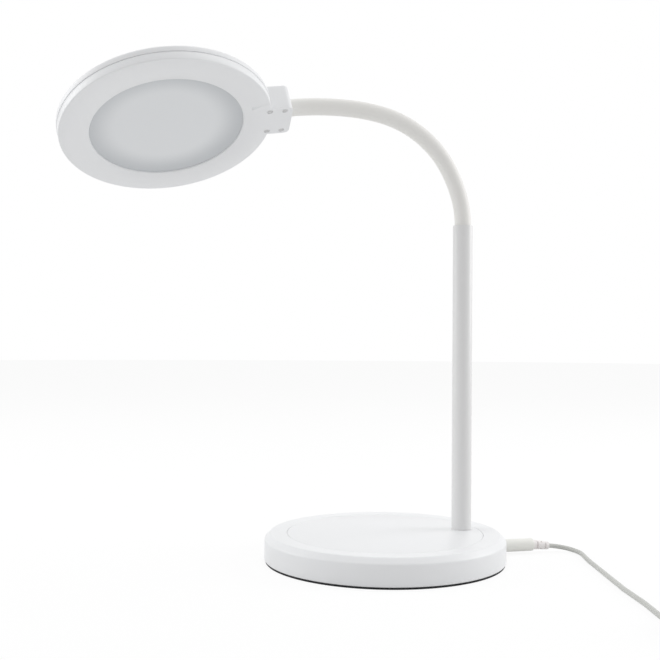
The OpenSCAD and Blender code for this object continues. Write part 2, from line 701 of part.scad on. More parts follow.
// One LED in the middle, and rings of 6, 12 and 18 round it
module leds() color("#f3e08a") at_head()
  for (ring = [0 : led_rings]) for (i = [0 : max(6 * ring, 1) - 1])
    rotate(360 * i / max(6 * ring, 1) + 10 * ring) translate([ring * led_step, 0, board_z - led_h / 2])
      cube([led_w, led_l, led_h], center = true);
module heat_plate() color(steel) at_head() difference() {
  translate([0, 0, board_z + board_t]) cylinder(r = board_r - 2, h = plate_t);
  for (a = board_hole_at) rotate(a) translate([board_hole_r, 0, board_z])
    cylinder(d = block_screw_hole, h = board_t + 2 * past);
}
module board_screws() color(steel) at_head()
  for (a = board_hole_at) rotate(a) translate([board_hole_r, 0, board_z - 1])
    screw(block_screw_d, board_t + plate_t + 1.4, block_screw_head, 1);
// A ring on the swivel's axis, from a distance before the bush's outer end
module swivel_ring(before, length, bore) translate([0, bush_y - before, axis_h]) along_y() difference() {
  cylinder(d = bush_d, h = length);
  translate([0, 0, -past]) cylinder(d = bore, h = length + 2 * past);
}
module swivel_bush() color("#f7f7f2") at_head() swivel_ring(bush_len, bush_len, spindle_d + 2 * running);
module friction_washer() color(copper)
  at_head() swivel_ring(bush_len + washer_t, washer_t, spindle_d + fit);
module block_screws() color(steel) at_head() block_screw_places() translate([0, 0, 0.1])
  screw(block_screw_d, 6.4, block_screw_head, screw_sunk - 0.1);
module head_lead() color(black) at_head() tube(rounded([
  [0, head_reach - spindle_len, axis_h], [0, head_reach - spindle_len - 8, axis_h],
  [0, board_r + 6, board_z + board_t / 2], [0, board_r, board_z + board_t / 2]
], 3), lead_d, 8, [1, 0, 0]);

// ---- Supply lead ----
module plug_barrel() color(steel) translate([0, plug_y0 - barrel_len, socket_z]) along_y() difference() {
  cylinder(d = barrel_d, h = barrel_len);
  translate([0, 0, -past]) cylinder(d = pin_d + seam, h = barrel_len - past);
}
module plug_grip() color(grey) translate([0, plug_y0, socket_z]) along_y() rotate_extrude() {
  r = plug_edge_r;
  square([plug_d / 2 - r, plug_len]);
  translate([0, r]) square([plug_d / 2, plug_len - 2 * r]);
  for (z = [r, plug_len - r]) translate([plug_d / 2 - r, z]) circle(r);
}
// The relief droops a little. It starts inside the grip and is cut off where it meets the grip's end.
module plug_relief() color(white) difference() {
  translate([0, relief_y0, socket_z]) rotate([-90 - relief_droop, 0, 0]) difference() {
    union() {
      cylinder(d1 = relief_d, d2 = relief_end_d, h = relief_len);
      translate([0, 0, -past]) cylinder(d = relief_d, h = past);
    }
    for (n = [0 : 2], side = [0, 180]) rotate(side + 90 * (n % 2))
      translate([cord_r + fit, -relief_d / 2, slot_start + n * slot_step])
        cube([relief_d, relief_d, slot_w]);
  }
  translate([-plug_d / 2, relief_y0 - plug_d, socket_z - plug_d / 2]) cube(plug_d);
}
module cord_run() color(grey) tube(run_route, cord_d, cord_sides);

// The coil: layers that spiral in and out by turns, and climb in the half turn where the spiral reverses
function ease(u) = u <= 0 ? 0 : u >= 1 ? 1 : u * u * (3 - 2 * u);
function coil_u(t) = let (k = floor(t / coil_turns), f = t / coil_turns - k) k % 2 == 0 ? f : 1 - f;
function total(v) = v * [for (x = v) 1];
function coil_level(t) = total([for (k = [1 : coil_layers - 1]) ease((t - k * coil_turns + 0.25) / 0.5)]);
function coil_at(t) =
  let (r = coil_out - coil_pitch * coil_turns * coil_u(t), a = 360 * t - 90)
  [coil_x + r * cos(a), coil_y + r * sin(a), coil_lift + cord_r + coil_pitch * coil_level(t)];
coil_total = coil_turns * coil_layers;
coil_steps = coil_total * coil_rings;
coil_points = concat(
  [[coil_x - cord_d, coil_y - coil_out, coil_lift + cord_r]],
  [for (i = [0 : coil_steps]) coil_at(min(i / coil_rings, coil_total - 0.00001))],
  [[coil_x + cord_d, coil_y - coil_out, coil_top]]
);
module cord_coil() color(grey) tube(coil_points, cord_d, coil_sides);
// Least gap of the coil to itself, between points more than half a turn apart
coil_gap = min([for (i = [0 : 3 : coil_steps]) for (j = [i + coil_rings / 2 : coil_steps])
  norm(coil_points[i + 1] - coil_points[j + 1])]) - cord_d;
echo(coil_least_gap = coil_gap);
function path_length(p) = total([for (i = [1 : len(p) - 1]) norm(p[i] - p[i - 1])]);
echo(cord_length = path_length(run_route) + path_length(coil_points) + path_length(tail_route));

// A flat tie round the coil's left side
tie_t = 0.8;
tie_w = 6;
module tie_section(grow) {
  inner = coil_out - coil_pitch * coil_turns - cord_r - seam - grow;
  outer = coil_out + cord_r + seam + grow;
  low = tie_t - grow;
  high = coil_top + cord_r + seam + grow;
  translate([coil_x - outer, low]) square([outer - inner, high - low]);
}
module cord_tie() color(black)
  translate([0, coil_y + tie_w / 2, 0]) rotate([90, 0, 0]) linear_extrude(tie_w) difference() {
    tie_section(tie_t);
    tie_section(0);
  }
module cord_tail() color(grey) tube(tail_route, cord_d, cord_sides);
module usb_relief() color(grey) translate([usb_x0, usb_y, usb_t / 2]) rotate([0, -90, 0])
  cylinder(d1 = cord_d + 1, d2 = usb_relief_d, h = usb_relief_len);
module usb_grip() color(grey) translate([usb_x0 - usb_relief_len - usb_len, usb_y - usb_w / 2, 0])
  cube([usb_len, usb_w, usb_t]);
module usb_shell() color(steel)
  translate([
    usb_x0 - usb_relief_len - usb_len - usb_shell_len, usb_y - usb_shell_w / 2, (usb_t - usb_shell_h) / 2
  ]) difference() {
    cube([usb_shell_len, usb_shell_w, usb_shell_h]);
    translate([-past, usb_shell_t, usb_shell_t])
      cube([usb_shell_len - past, usb_shell_w - 2 * usb_shell_t, usb_shell_h - 2 * usb_shell_t]);
  }

base_shell();
top_panel();
base_pad();
bottom_cover();
cover_screws();
ballast_disc();
ballast_screws();
touch_board();
board_chips();
touch_foil();
dc_jack();
jack_pin();
jack_lead();
post_tube();
post_flange();
flange_screws();
post_lead();
neck_ferrule();
neck_link_1();
neck_link_2();
neck_link_3();
neck_link_4();
neck_link_5();
neck_link_6();
neck_link_7();
neck_link_8();
neck_sleeve();
neck_lead();
swivel_spindle();
rear_shell();
front_bezel();
diffuser();
reflector();
led_board();
leds();
heat_plate();
board_screws();
swivel_bush();
friction_washer();
block_screws();
head_lead();
plug_barrel();
plug_grip();
plug_relief();
cord_run();
cord_coil();
cord_tie();
cord_tail();
usb_relief();
usb_grip();
usb_shell();
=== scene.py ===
# %% [markdown]
# # A desk lamp: round base, upright post, flexible neck and a flat round head
#
# The lamp is white all over, so its look depends on clean edges, narrow seams and small differences in
# gloss between moulded plastic, powder-coated steel and silicone. The rigid frame of the part is loaded
# first. Every piece made below is placed from it, and all but the neck's stretches move with one of its
# bodies.

# %% Load the frame
import json
import math

import bpy
from mathutils import Matrix, Vector


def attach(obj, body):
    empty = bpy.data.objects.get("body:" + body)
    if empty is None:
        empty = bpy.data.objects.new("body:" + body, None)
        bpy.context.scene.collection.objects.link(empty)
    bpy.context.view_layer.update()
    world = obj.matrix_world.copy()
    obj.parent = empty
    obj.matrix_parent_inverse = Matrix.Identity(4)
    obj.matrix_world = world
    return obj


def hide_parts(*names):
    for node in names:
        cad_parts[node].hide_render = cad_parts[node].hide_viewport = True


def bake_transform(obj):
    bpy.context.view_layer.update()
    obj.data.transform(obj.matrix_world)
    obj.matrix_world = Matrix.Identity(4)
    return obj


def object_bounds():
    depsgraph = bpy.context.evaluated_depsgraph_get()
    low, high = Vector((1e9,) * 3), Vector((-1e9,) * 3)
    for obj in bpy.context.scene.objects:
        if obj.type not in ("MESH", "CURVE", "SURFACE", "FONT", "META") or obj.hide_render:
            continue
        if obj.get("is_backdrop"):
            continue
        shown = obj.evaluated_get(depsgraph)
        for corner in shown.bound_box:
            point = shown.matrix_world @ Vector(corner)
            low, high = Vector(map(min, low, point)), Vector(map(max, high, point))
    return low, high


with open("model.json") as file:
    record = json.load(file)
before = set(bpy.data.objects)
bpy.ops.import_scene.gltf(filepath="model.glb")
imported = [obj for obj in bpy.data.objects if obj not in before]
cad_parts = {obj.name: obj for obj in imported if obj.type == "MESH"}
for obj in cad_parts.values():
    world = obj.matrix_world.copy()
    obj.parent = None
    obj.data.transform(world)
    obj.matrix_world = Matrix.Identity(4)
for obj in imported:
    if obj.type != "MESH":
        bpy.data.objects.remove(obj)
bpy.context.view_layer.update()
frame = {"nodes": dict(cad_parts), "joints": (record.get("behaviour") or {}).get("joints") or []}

MM = 0.001

# %% [markdown]
# ## The camera
#
# The lamp is seen from its right side, almost level with the middle of the post. A camera can be placed
# by eye, or worked out from sizes that are known. Here the known round base gave the height and the tilt
# of the view: the three directions below are those of the picture's depth, width and height.

# %% Camera
PICTURE_SIDE_PX = 660
FOCAL_PX = 1000
SENSOR_MM = 36
camera_place = Vector((719.5, -217.7, 167.8)) * MM
view_depth = Vector((-0.9718, 0.2358, 0.0056)).normalized()
view_right = Vector((0.2358, 0.9718, 0.0061)).normalized()
# Two cross products make the three directions exactly square to each other.
view_up = view_right.cross(view_depth)
view_right = view_depth.cross(view_up)

bpy.ops.object.select_all(action="DESELECT")
bpy.ops.object.camera_add()
camera = bpy.context.object
camera.data.sensor_width = SENSOR_MM
camera.data.lens = FOCAL_PX / PICTURE_SIDE_PX * SENSOR_MM
camera.data.clip_start = 0.02
turn = Matrix((view_right, view_up, -view_depth)).transposed()
camera.matrix_world = Matrix.Translation(camera_place) @ turn.to_4x4()
bpy.context.scene.camera = camera
print("lens %.1f mm" % camera.data.lens)

# %% [markdown]
# ## Small helpers
#
# The pieces are shaped as by hand: a primitive, then edit-mode tools on what is selected. Operators act on
# everything that is selected, so each piece starts from an empty selection, and a short function selects
# faces or edges by where they are.

# %% Helpers for modelling
def begin():
    """Leaves edit mode and deselects everything."""
    if bpy.context.mode != "OBJECT":
        bpy.ops.object.mode_set(mode="OBJECT")
    bpy.ops.object.select_all(action="DESELECT")


def only(piece):
    """Makes a piece the one that operators act on."""
    begin()
    piece.select_set(True)
    bpy.context.view_layer.objects.active = piece


def pick(piece, kind, test):
    """Selects the points, edges or faces whose middle passes the test, and stays in edit mode."""
    only(piece)
    bpy.ops.object.mode_set(mode="EDIT")
    bpy.ops.mesh.select_mode(type=kind)
    bpy.ops.mesh.select_all(action="DESELECT")
    bpy.ops.object.mode_set(mode="OBJECT")
    mesh = piece.data
    if kind == "EDGE":
        for edge in mesh.edges:
            a, b = (mesh.vertices[i].co for i in edge.vertices)
            edge.select = bool(test((a + b) / 2 / MM, (a - b) / MM))
    elif kind == "FACE":
        for face in mesh.polygons:
            face.select = bool(test(face.center / MM, face.normal))
    else:
        for point in mesh.vertices:
            point.select = bool(test(point.co / MM, point.normal))
    bpy.ops.object.mode_set(mode="EDIT")


def move(x, y, z):
    """Moves what is selected, by millimetres."""
    bpy.ops.transform.translate(value=(x * MM, y * MM, z * MM))


def modify(piece, kind, **settings):
    """Adds a modifier with its settings and applies it."""
    only(piece)
    modifier = piece.modifiers.new(kind.title(), kind)
    for key, value in settings.items():
        setattr(modifier, key, value)
    bpy.ops.object.modifier_apply(modifier=modifier.name)


def combine(piece, other, operation="DIFFERENCE"):
    """Cuts or joins a second solid into a piece, and removes the second solid."""
    modify(piece, "BOOLEAN", object=other, operation=operation, solver="EXACT")
    bpy.data.objects.remove(other)


def place(piece, matrix):
    """Moves a finished mesh to its place, with the object itself left at the origin."""
    piece.data.transform(matrix)
    piece.data.update()


def smooth(piece, angle):
    """Shades a piece smooth, except at edges that turn by more than the angle in degrees."""
    only(piece)
    bpy.ops.object.shade_smooth_by_angle(angle=math.radians(angle))


def finish_piece(piece, name, body, nodes, material):
    """Names a piece, gives it its finish, and lets it ride on a body in place of its CAD nodes."""
    begin()
    piece.name = name
    piece.data.name = name
    piece.data.materials.clear()
    piece.data.materials.append(material)
    # A piece that bends gets no body here.
    if body:
        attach(piece, body)
    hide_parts(*nodes)
    print("%-18s %6d faces" % (name, len(piece.data.polygons)))


# %% [markdown]
# ## Turned shapes
#
# Most of the lamp is round. A round piece can be a cylinder with bevelled edges, or an outline that is
# spun about an axis. The spun outline is chosen here, because rims, lips and seams are then drawn in one
# go, and the arcs of its corners come from a formula.

# %% Helpers for turned shapes
def arc(x, z, radius, start, end, steps):
    """Points of a round corner, from one angle to another, in degrees."""
    angles = [math.radians(start + (end - start) * i / steps) for i in range(steps + 1)]
    return [(x + radius * math.cos(a), z + radius * math.sin(a)) for a in angles]


def turned(outline, steps):
    """Spins an outline of (radius, height) points in mm about Z. A closed outline ends where it starts."""
    begin()
    bpy.ops.mesh.primitive_plane_add(size=MM)
    piece = bpy.context.object
    bpy.ops.object.mode_set(mode="EDIT")
    bpy.ops.mesh.select_mode(type="VERT")
    bpy.ops.mesh.select_all(action="SELECT")
    bpy.ops.mesh.merge(type="CENTER")
    x, z = outline[0]
    move(x, 0, z)
    for next_x, next_z in outline[1:]:
        step = ((next_x - x) * MM, 0, (next_z - z) * MM)
        bpy.ops.mesh.extrude_vertices_move(TRANSFORM_OT_translate={"value": step})
        x, z = next_x, next_z
    bpy.ops.mesh.select_all(action="SELECT")
    bpy.ops.mesh.remove_doubles(threshold=0.002 * MM)
    bpy.ops.mesh.select_all(action="SELECT")
    bpy.ops.mesh.spin(steps=steps, angle=math.tau, center=(0, 0, 0), axis=(0, 0, 1))
    bpy.ops.mesh.select_all(action="SELECT")
    bpy.ops.mesh.remove_doubles(threshold=0.002 * MM)
    bpy.ops.mesh.normals_make_consistent(inside=False)
    bpy.ops.object.mode_set(mode="OBJECT")
    return piece


def box(low, high, edge=0, segments=3):
    """A box between two corners in mm, with all its edges rounded."""
    begin()
    middle = (Vector(low) + Vector(high)) / 2 * MM
    bpy.ops.mesh.primitive_cube_add(size=1, location=middle)
    piece = bpy.context.object
    piece.scale = (Vector(high) - Vector(low)) * MM
    bpy.ops.object.transform_apply(location=True, rotation=True, scale=True)
    if edge:
        modify(piece, "BEVEL", width=edge * MM, segments=segments, limit_method="NONE")
    return piece


def rod(radius, start, end, sides, end_radius=None):
    """A straight rod or cone between two points in mm."""
    begin()
    start, end = Vector(start) * MM, Vector(end) * MM
    bpy.ops.mesh.primitive_cone_add(
        vertices=sides, radius1=radius * MM, radius2=(end_radius or radius) * MM, depth=(end - start).length
    )
    piece = bpy.context.object
    turned_to = (end - start).to_track_quat("Z", "Y").to_matrix().to_4x4()
    place(piece, Matrix.Translation((start + end) / 2) @ turned_to)
    return piece


# %% [markdown]
# ## Finishes: how a material is written
#
# Every finish is a small tree of nodes round one Principled shader. Colours are written as sRGB hex, as a
# colour card gives them, and one function turns them to the linear values that the renderer works in.

# %% Helpers for materials
def linear(hex_colour):
    """An sRGB hex colour as linear RGBA."""
    values = [int(hex_colour[i:i + 2], 16) / 255 for i in (1, 3, 5)]
    return [v / 12.92 if v <= 0.04045 else ((v + 0.055) / 1.055) ** 2.4 for v in values] + [1]


def add(tree, kind, links=None, **settings):
    """Adds one node. Settings with a name of the node's own are set on it, all others on its inputs."""
    node = tree.nodes.new(kind)
    for key, value in settings.items():
        if hasattr(node, key):
            setattr(node, key, value)
        else:
            node.inputs[key.replace("_", " ")].default_value = value
    for key, socket in (links or {}).items():
        tree.links.new(socket, node.inputs[key])
    return node


def new_material(name):
    """An empty material with its output node."""
    material = bpy.data.materials.new(name)
    material.use_nodes = True
    material.node_tree.nodes.clear()
    output = material.node_tree.nodes.new("ShaderNodeOutputMaterial")
    print("finish:", name)
    return material, material.node_tree, output


def grain_size(millimetres):
    """The scale of a noise texture whose grains are that far apart."""
    return 1 / (millimetres * MM)


# %% [markdown]
# ## Moulded, painted and rubbery surfaces
#
# One recipe serves the plain surfaces of the lamp, because they differ in numbers and not in kind: a
# colour with a faint cloudy change, a fine grain that comes from the mould or the spray gun, and a
# roughness that changes a little with handling. The grain is a noise texture as bump, at its real size.

# %% A grained surface
ROUGHNESS_CHANGE = 0.03


def grained(name, colour, second_colour, roughness, grain_mm, depth_mm, cloud_mm=35, **shader_settings):
    """A dielectric surface with a fine grain, and with clouds between two near colours."""
    material, tree, output = new_material(name)
    at = add(tree, "ShaderNodeTexCoord").outputs["Object"]
    cloud = add(tree, "ShaderNodeTexNoise", {"Vector": at}, Scale=grain_size(cloud_mm), Detail=3.0)
    tint = add(tree, "ShaderNodeMix", {"Factor": cloud.outputs["Fac"]}, data_type="RGBA")
    tint.inputs["A"].default_value = linear(colour)
    tint.inputs["B"].default_value = linear(second_colour)
    gloss = add(tree, "ShaderNodeMapRange", {"Value": cloud.outputs["Fac"]})
    gloss.inputs["To Min"].default_value = roughness - ROUGHNESS_CHANGE
    gloss.inputs["To Max"].default_value = roughness + ROUGHNESS_CHANGE
    grain = add(tree, "ShaderNodeTexNoise", {"Vector": at}, Scale=grain_size(grain_mm), Detail=2.0)
    height = {"Height": grain.outputs["Fac"]}
    bump = add(tree, "ShaderNodeBump", height, Strength=1.0, Distance=depth_mm * MM)
    links = {
        "Base Color": tint.outputs["Result"],
        "Roughness": gloss.outputs["Result"],
        "Normal": bump.outputs["Normal"],
    }
    shader = add(tree, "ShaderNodeBsdfPrincipled", links, **shader_settings)
    tree.links.new(shader.outputs["BSDF"], output.inputs["Surface"])
    return material


# ABS from a spark-eroded tool has a satin face: its grain, about 0.45 mm apart, breaks up every reflection.
abs_moulded = grained("ABS_moulded_satin_white", "#EDEEF0", "#F0F1F2", 0.38, 0.45, 0.004, IOR=1.52)
# From a polished tool, as on the base's panel, it keeps only a faint waviness and shines a little more.
abs_polished = grained("ABS_moulded_semi_gloss_white", "#EBECEE", "#EEEFF0", 0.31, 6.0, 0.004, IOR=1.5)
# Powder coat flows out to a soft orange peel with bumps about 1.5 mm apart.
powder_coat = grained("steel_powder_coated_white", "#E2E2E2", "#E5E5E5", 0.33, 1.5, 0.012, IOR=1.5)
# Silicone is dull and a little warm.
silicone = grained("silicone_extruded_white", "#EBEAE7", "#EEEDEA", 0.5, 0.6, 0.006, IOR=1.41)
# Closed-cell foam shows its cut cells, and reflects almost nothing.
foam = grained("EVA_foam_cut_black", "#161618", "#202023", 0.85, 0.7, 0.12, IOR=1.45)
# Black ABS, as on the cover under the base, has a coarser grain, which turns its shine to a grey haze.
black_abs = grained("ABS_moulded_grained_black", "#1B1C1E", "#232427", 0.55, 0.6, 0.02, IOR=1.52)
# Soft PVC is duller than ABS. The plug's is a warm pale grey, and its strain relief's is nearly white.
pvc_grey = grained("PVC_moulded_pale_grey", "#ECECE7", "#F0F0EB", 0.45, 0.5, 0.005, IOR=1.53)
pvc_white = grained("PVC_moulded_white", "#EEEAE9", "#F2EEED", 0.42, 0.5, 0.005, IOR=1.53)
# An extruded sheath is smoother than a moulding, and its colour drifts slowly along the lead.
cord_sheath = grained("PVC_extruded_sheath_pale_grey", "#C2C3BF", "#C8C9C5", 0.4, 0.9, 0.01, 60, IOR=1.53)
inner_sheath = grained("PVC_extruded_sheath_black", "#18181A", "#202022", 0.45, 0.9, 0.01, IOR=1.53)
# Turned acetal looks like ivory, with a soft shine.
acetal = grained("acetal_turned_natural", "#EFEFE8", "#F2F2EC", 0.35, 0.4, 0.004, IOR=1.48)
# Solder mask is a thin lacquer: it shines, and the green one lets the board show through in clouds.
green_mask = grained("solder_mask_green", "#1F5A3A", "#24654A", 0.32, 0.5, 0.004, IOR=1.5)
white_mask = grained("solder_mask_white", "#E6E8E8", "#ECEDED", 0.4, 0.5, 0.004, IOR=1.5)
# Moulded epoxy is filled with silica powder, which makes the chips dull.
chip_epoxy = grained("epoxy_moulded_black", "#161616", "#1C1C1C", 0.6, 0.3, 0.01, IOR=1.55)
# The light sources are yellow while off, because of the phosphor in their clear resin.
phosphor = grained("LED_phosphor_yellow", "#EBD37A", "#F0DA88", 0.35, 0.3, 0.004, IOR=1.5)

# %% [markdown]
# ## Metals
#
# Bare metal has no colour of its own in the diffuse sense: its colour is that of its reflection. Turned
# and rolled sheet show fine lines, so the noise is stretched along one direction.

# %% A metal surface
LINE_STRETCH, LINE_DEPTH = 12, 0.002


def metal(name, colour, roughness, line_mm=0.25):
    """Bare metal with fine lines from rolling, turning or plating."""
    material, tree, output = new_material(name)
    at = add(tree, "ShaderNodeTexCoord").outputs["Object"]
    stretched = add(tree, "ShaderNodeMapping", {"Vector": at}, Scale=(1 / LINE_STRETCH, 1, 1))
    links = {"Vector": stretched.outputs["Vector"]}
    lines = add(tree, "ShaderNodeTexNoise", links, Scale=grain_size(line_mm))
    spread = add(tree, "ShaderNodeMapRange", {"Value": lines.outputs["Fac"]})
    spread.inputs["To Min"].default_value = roughness * 0.8
    spread.inputs["To Max"].default_value = roughness * 1.25
    height = {"Height": lines.outputs["Fac"]}
    bump = add(tree, "ShaderNodeBump", height, Strength=1.0, Distance=LINE_DEPTH * MM)
    links = {"Roughness": spread.outputs["Result"], "Normal": bump.outputs["Normal"]}
    shader = add(tree, "ShaderNodeBsdfPrincipled", links, Metallic=1.0, Base_Color=linear(colour))
    tree.links.new(shader.outputs["BSDF"], output.inputs["Surface"])
    return material


# Rolled steel is a dark grey with a long soft shine along its lines.
bare_steel = metal("steel_rolled_bare", "#A9ABAE", 0.35)
# Zinc plate is paler and bluish.
zinc = metal("steel_zinc_plated", "#C3C6CA", 0.35)
# Nickel plate on polished brass is the only bright mirror of the lamp, with a warm tone.
nickel = metal("brass_nickel_plated", "#C9C8C5", 0.18, 0.15)
# Copper sheet shows its own reddish colour.
copper = metal("copper_sheet", "#C58A66", 0.35)
# Aluminium sheet is the palest of the metals.
aluminium = metal("aluminium_sheet", "#CFD1D3", 0.36)

# %% [markdown]
# ## The opal diffuser
#
# Opal acrylic lets light in, scatters it and gives it back grey-white. Behind it lies a shallow white
# well with the board, so the plate looks a little darker near its rim, where the well's wall shades it,
# and more so on one side. Real scattering would need many samples. A colour that darkens with the distance
# from a point near the plate's centre, read from the plate's own UV map, gives the same look at once.

# %% Opal acrylic
LIGHT_POINT = (0.535, 0.485, 0)
SHADE_START, SHADE_END = 0.3, 0.49
FROST_GRAIN, FROST_DEPTH = 0.5, 0.004


def opal_acrylic(middle, rim):
    """Matt opal plastic with painted shade towards its rim. The UV map has the plate's centre at (0.5, 0.5)
    and its edge at 0.5 from there.
    """
    material, tree, output = new_material("acrylic_opal_cast")
    uv = add(tree, "ShaderNodeUVMap", uv_map="plate").outputs["UV"]
    from_centre = add(tree, "ShaderNodeVectorMath", {0: uv}, operation="DISTANCE")
    from_centre.inputs[1].default_value = LIGHT_POINT
    ramp = add(tree, "ShaderNodeValToRGB", {"Fac": from_centre.outputs["Value"]})
    ramp.color_ramp.interpolation = "EASE"
    ramp.color_ramp.elements[0].position = SHADE_START
    ramp.color_ramp.elements[0].color = linear(middle)
    ramp.color_ramp.elements[1].position = SHADE_END
    ramp.color_ramp.elements[1].color = linear(rim)
    at = add(tree, "ShaderNodeTexCoord").outputs["Object"]
    frost = add(tree, "ShaderNodeTexNoise", {"Vector": at}, Scale=grain_size(FROST_GRAIN), Detail=2.0)
    height = {"Height": frost.outputs["Fac"]}
    bump = add(tree, "ShaderNodeBump", height, Strength=1.0, Distance=FROST_DEPTH * MM)
    links = {"Base Color": ramp.outputs["Color"], "Normal": bump.outputs["Normal"]}
    shader = add(tree, "ShaderNodeBsdfPrincipled", links, Roughness=0.42, IOR=1.49)
    tree.links.new(shader.outputs["BSDF"], output.inputs["Surface"])
    return material


# The rim colour is painted shade, deeper on one side, where the well's wall would shade the plate.
opal = opal_acrylic("#E6E8EA", "#CACDD0")

# %% [markdown]
# ## The supply lead
#
# The lead is one soft piece: 1.5 m of round two-core cable, 3.5 mm thick, the usual length for a lamp
# that is fed from a USB supply. Its first stretch drops from the plug's strain relief and lies on the
# desk. The rest is wound into a tied coil of four layers, and a short tail ends in the USB plug. A curve
# is used, since it keeps its thickness in every bend, and its points are those of the solid it stands for.

# %% Route of the lead
CORD_D = 3.5
CURVE_PARTS = 4
RUN = [
    (0, 132.6, 4.99), (0.5, 139.5, 4.2), (3, 146, 3.2), (8.5, 150.5, 2.3), (16, 152, 1.9),
    (24, 150.5, 1.8), (33, 148, 1.8), (42, 145.5, 1.8), (51, 143.5, 1.8), (60, 141.5, 1.8), (69, 139.5, 1.8),
    (78, 137.5, 1.8), (87, 135.5, 1.8), (96, 133.5, 1.8), (105, 131.5, 1.8), (114, 129.5, 1.8),
    (123, 127.5, 1.8), (132, 126, 1.8), (141, 124.5, 1.8), (150, 123, 1.8), (159, 121.5, 1.8),
    (168, 119.5, 1.8), (177, 117.5, 1.8), (186, 115.5, 1.8), (195, 114.3, 2), (204, 114, 2.4),
]
COIL_MIDDLE = (218, 138)
COIL_OUTER, COIL_PITCH, COIL_TURNS, COIL_LAYERS = 24, 4, 2.5, 4
COIL_LOW = 2.65
COIL_HIGH = COIL_LOW + (COIL_LAYERS - 1) * COIL_PITCH
STEPS_PER_TURN = 36
USB_PLACE = Vector((236, 177, 4))
TAIL = [
    (COIL_MIDDLE[0] + CORD_D, 114, COIL_HIGH), (COIL_MIDDLE[0] + CORD_D + 3, 114, COIL_HIGH),
    (233, 114.3, 14.4), (241, 117.5, 13), (247, 123.5, 10.8), (250.5, 131.5, 8.4), (252, 140, 6.2),
    (252, 149, 4.8), (250.5, 158, 4.2), (247, 166, 4), (242.5, 173, 4), (239, 176.4, 4), tuple(USB_PLACE),
]


def eased(u):
    """Goes from 0 to 1 with a soft start and end."""
    u = min(max(u, 0), 1)
    return u * u * (3 - 2 * u)


def coil_point(turn_count):
    """A point of the coil: its layers spiral in and out by turns, and climb where the spiral reverses."""
    layer = math.floor(turn_count / COIL_TURNS)
    share = turn_count / COIL_TURNS - layer
    inward = share if layer % 2 == 0 else 1 - share
    radius = COIL_OUTER - COIL_PITCH * COIL_TURNS * inward
    level = sum(eased((turn_count - k * COIL_TURNS + 0.25) / 0.5) for k in range(1, COIL_LAYERS))
    angle = math.tau * turn_count - math.pi / 2
    x = COIL_MIDDLE[0] + radius * math.cos(angle)
    y = COIL_MIDDLE[1] + radius * math.sin(angle)
    return (x, y, COIL_LOW + COIL_PITCH * level)


def through(points):
    """Points of a smooth curve through the given ones."""
    result = []
    points = [Vector(p) for p in points]
    ends = [2 * points[0] - points[1]] + points + [2 * points[-1] - points[-2]]
    for a, b, c, d in zip(ends, ends[1:], ends[2:], ends[3:]):
        square, cube = 2 * a - 5 * b + 4 * c - d, 3 * b - a - 3 * c + d
        for i in range(CURVE_PARTS):
            t = i / CURVE_PARTS
            result.append(0.5 * (2 * b + (c - a) * t + square * t * t + cube * t ** 3))
    return result + [points[-1]]


total_turns = COIL_TURNS * COIL_LAYERS
coil_steps = int(total_turns * STEPS_PER_TURN)
# The last point stays just short of a further layer.
coil = [Vector(coil_point(min(i / STEPS_PER_TURN, total_turns - 1e-5))) for i in range(coil_steps + 1)]
lead_in = [(COIL_MIDDLE[0] - CORD_D - 3, 114, COIL_LOW), (COIL_MIDDLE[0] - CORD_D, 114, COIL_LOW)]
route = through(RUN + lead_in) + coil + through(TAIL)

# %% The lead as a curve
LEAD_SIDES = 16
lead_curve = bpy.data.curves.new("supply_lead", "CURVE")
lead_curve.dimensions = "3D"
lead_curve.bevel_depth = CORD_D / 2 * MM
lead_curve.bevel_resolution = (LEAD_SIDES - 4) // 2
lead_curve.use_fill_caps = True
lead_curve.materials.append(cord_sheath)
spline = lead_curve.splines.new("POLY")
spline.points.add(len(route) - 1)
for target, point in zip(spline.points, route):
    target.co = (*(point * MM), 1)
spline.use_smooth = True
supply_lead = bpy.data.objects.new("supply_lead", lead_curve)
bpy.context.scene.collection.objects.link(supply_lead)
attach(supply_lead, "base")
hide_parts("cord_run", "cord_coil", "cord_tail")
print("lead's curve:", len(spline.points), "points")

# %% [markdown]
# ## The base
#
# The base is a flat round box of moulded plastic over a steel disc. Its top meets the wall in a 4 mm sloped
# edge with soft corners, and a thinner panel is let into the top, so that a hair-fine ring shows. The shell
# is spun from its outline, and then gets the hole for the post and the hole for the supply plug.

# %% Base shell
BASE_R, BASE_TOP, BASE_EDGE, BASE_WALL = 90, 20.8, 4, 2.4
PAD_T = 1.5
PANEL_R, PANEL_T, SEAM = 73, 1.6, 0.2
POST_R, POST_Y, POST_TOP = 7.5, 61, 252.5
ROOF_LOW, ROOF_CORNER = 17.2, 3
SOCKET_R, SOCKET_Z = 2.35, 6.4
seat_z = BASE_TOP - PANEL_T
edge_x, edge_z = BASE_R - BASE_EDGE, BASE_TOP - BASE_EDGE
FOOT_SOFT, LIP_SOFT = 1, 0.25
CUT_PAST = 5
# The sloped edge is at 45 degrees. Its two corners are arcs, which end this far from the sharp corner.
SOFT = 2
soft_end = SOFT * math.tan(math.radians(22.5))

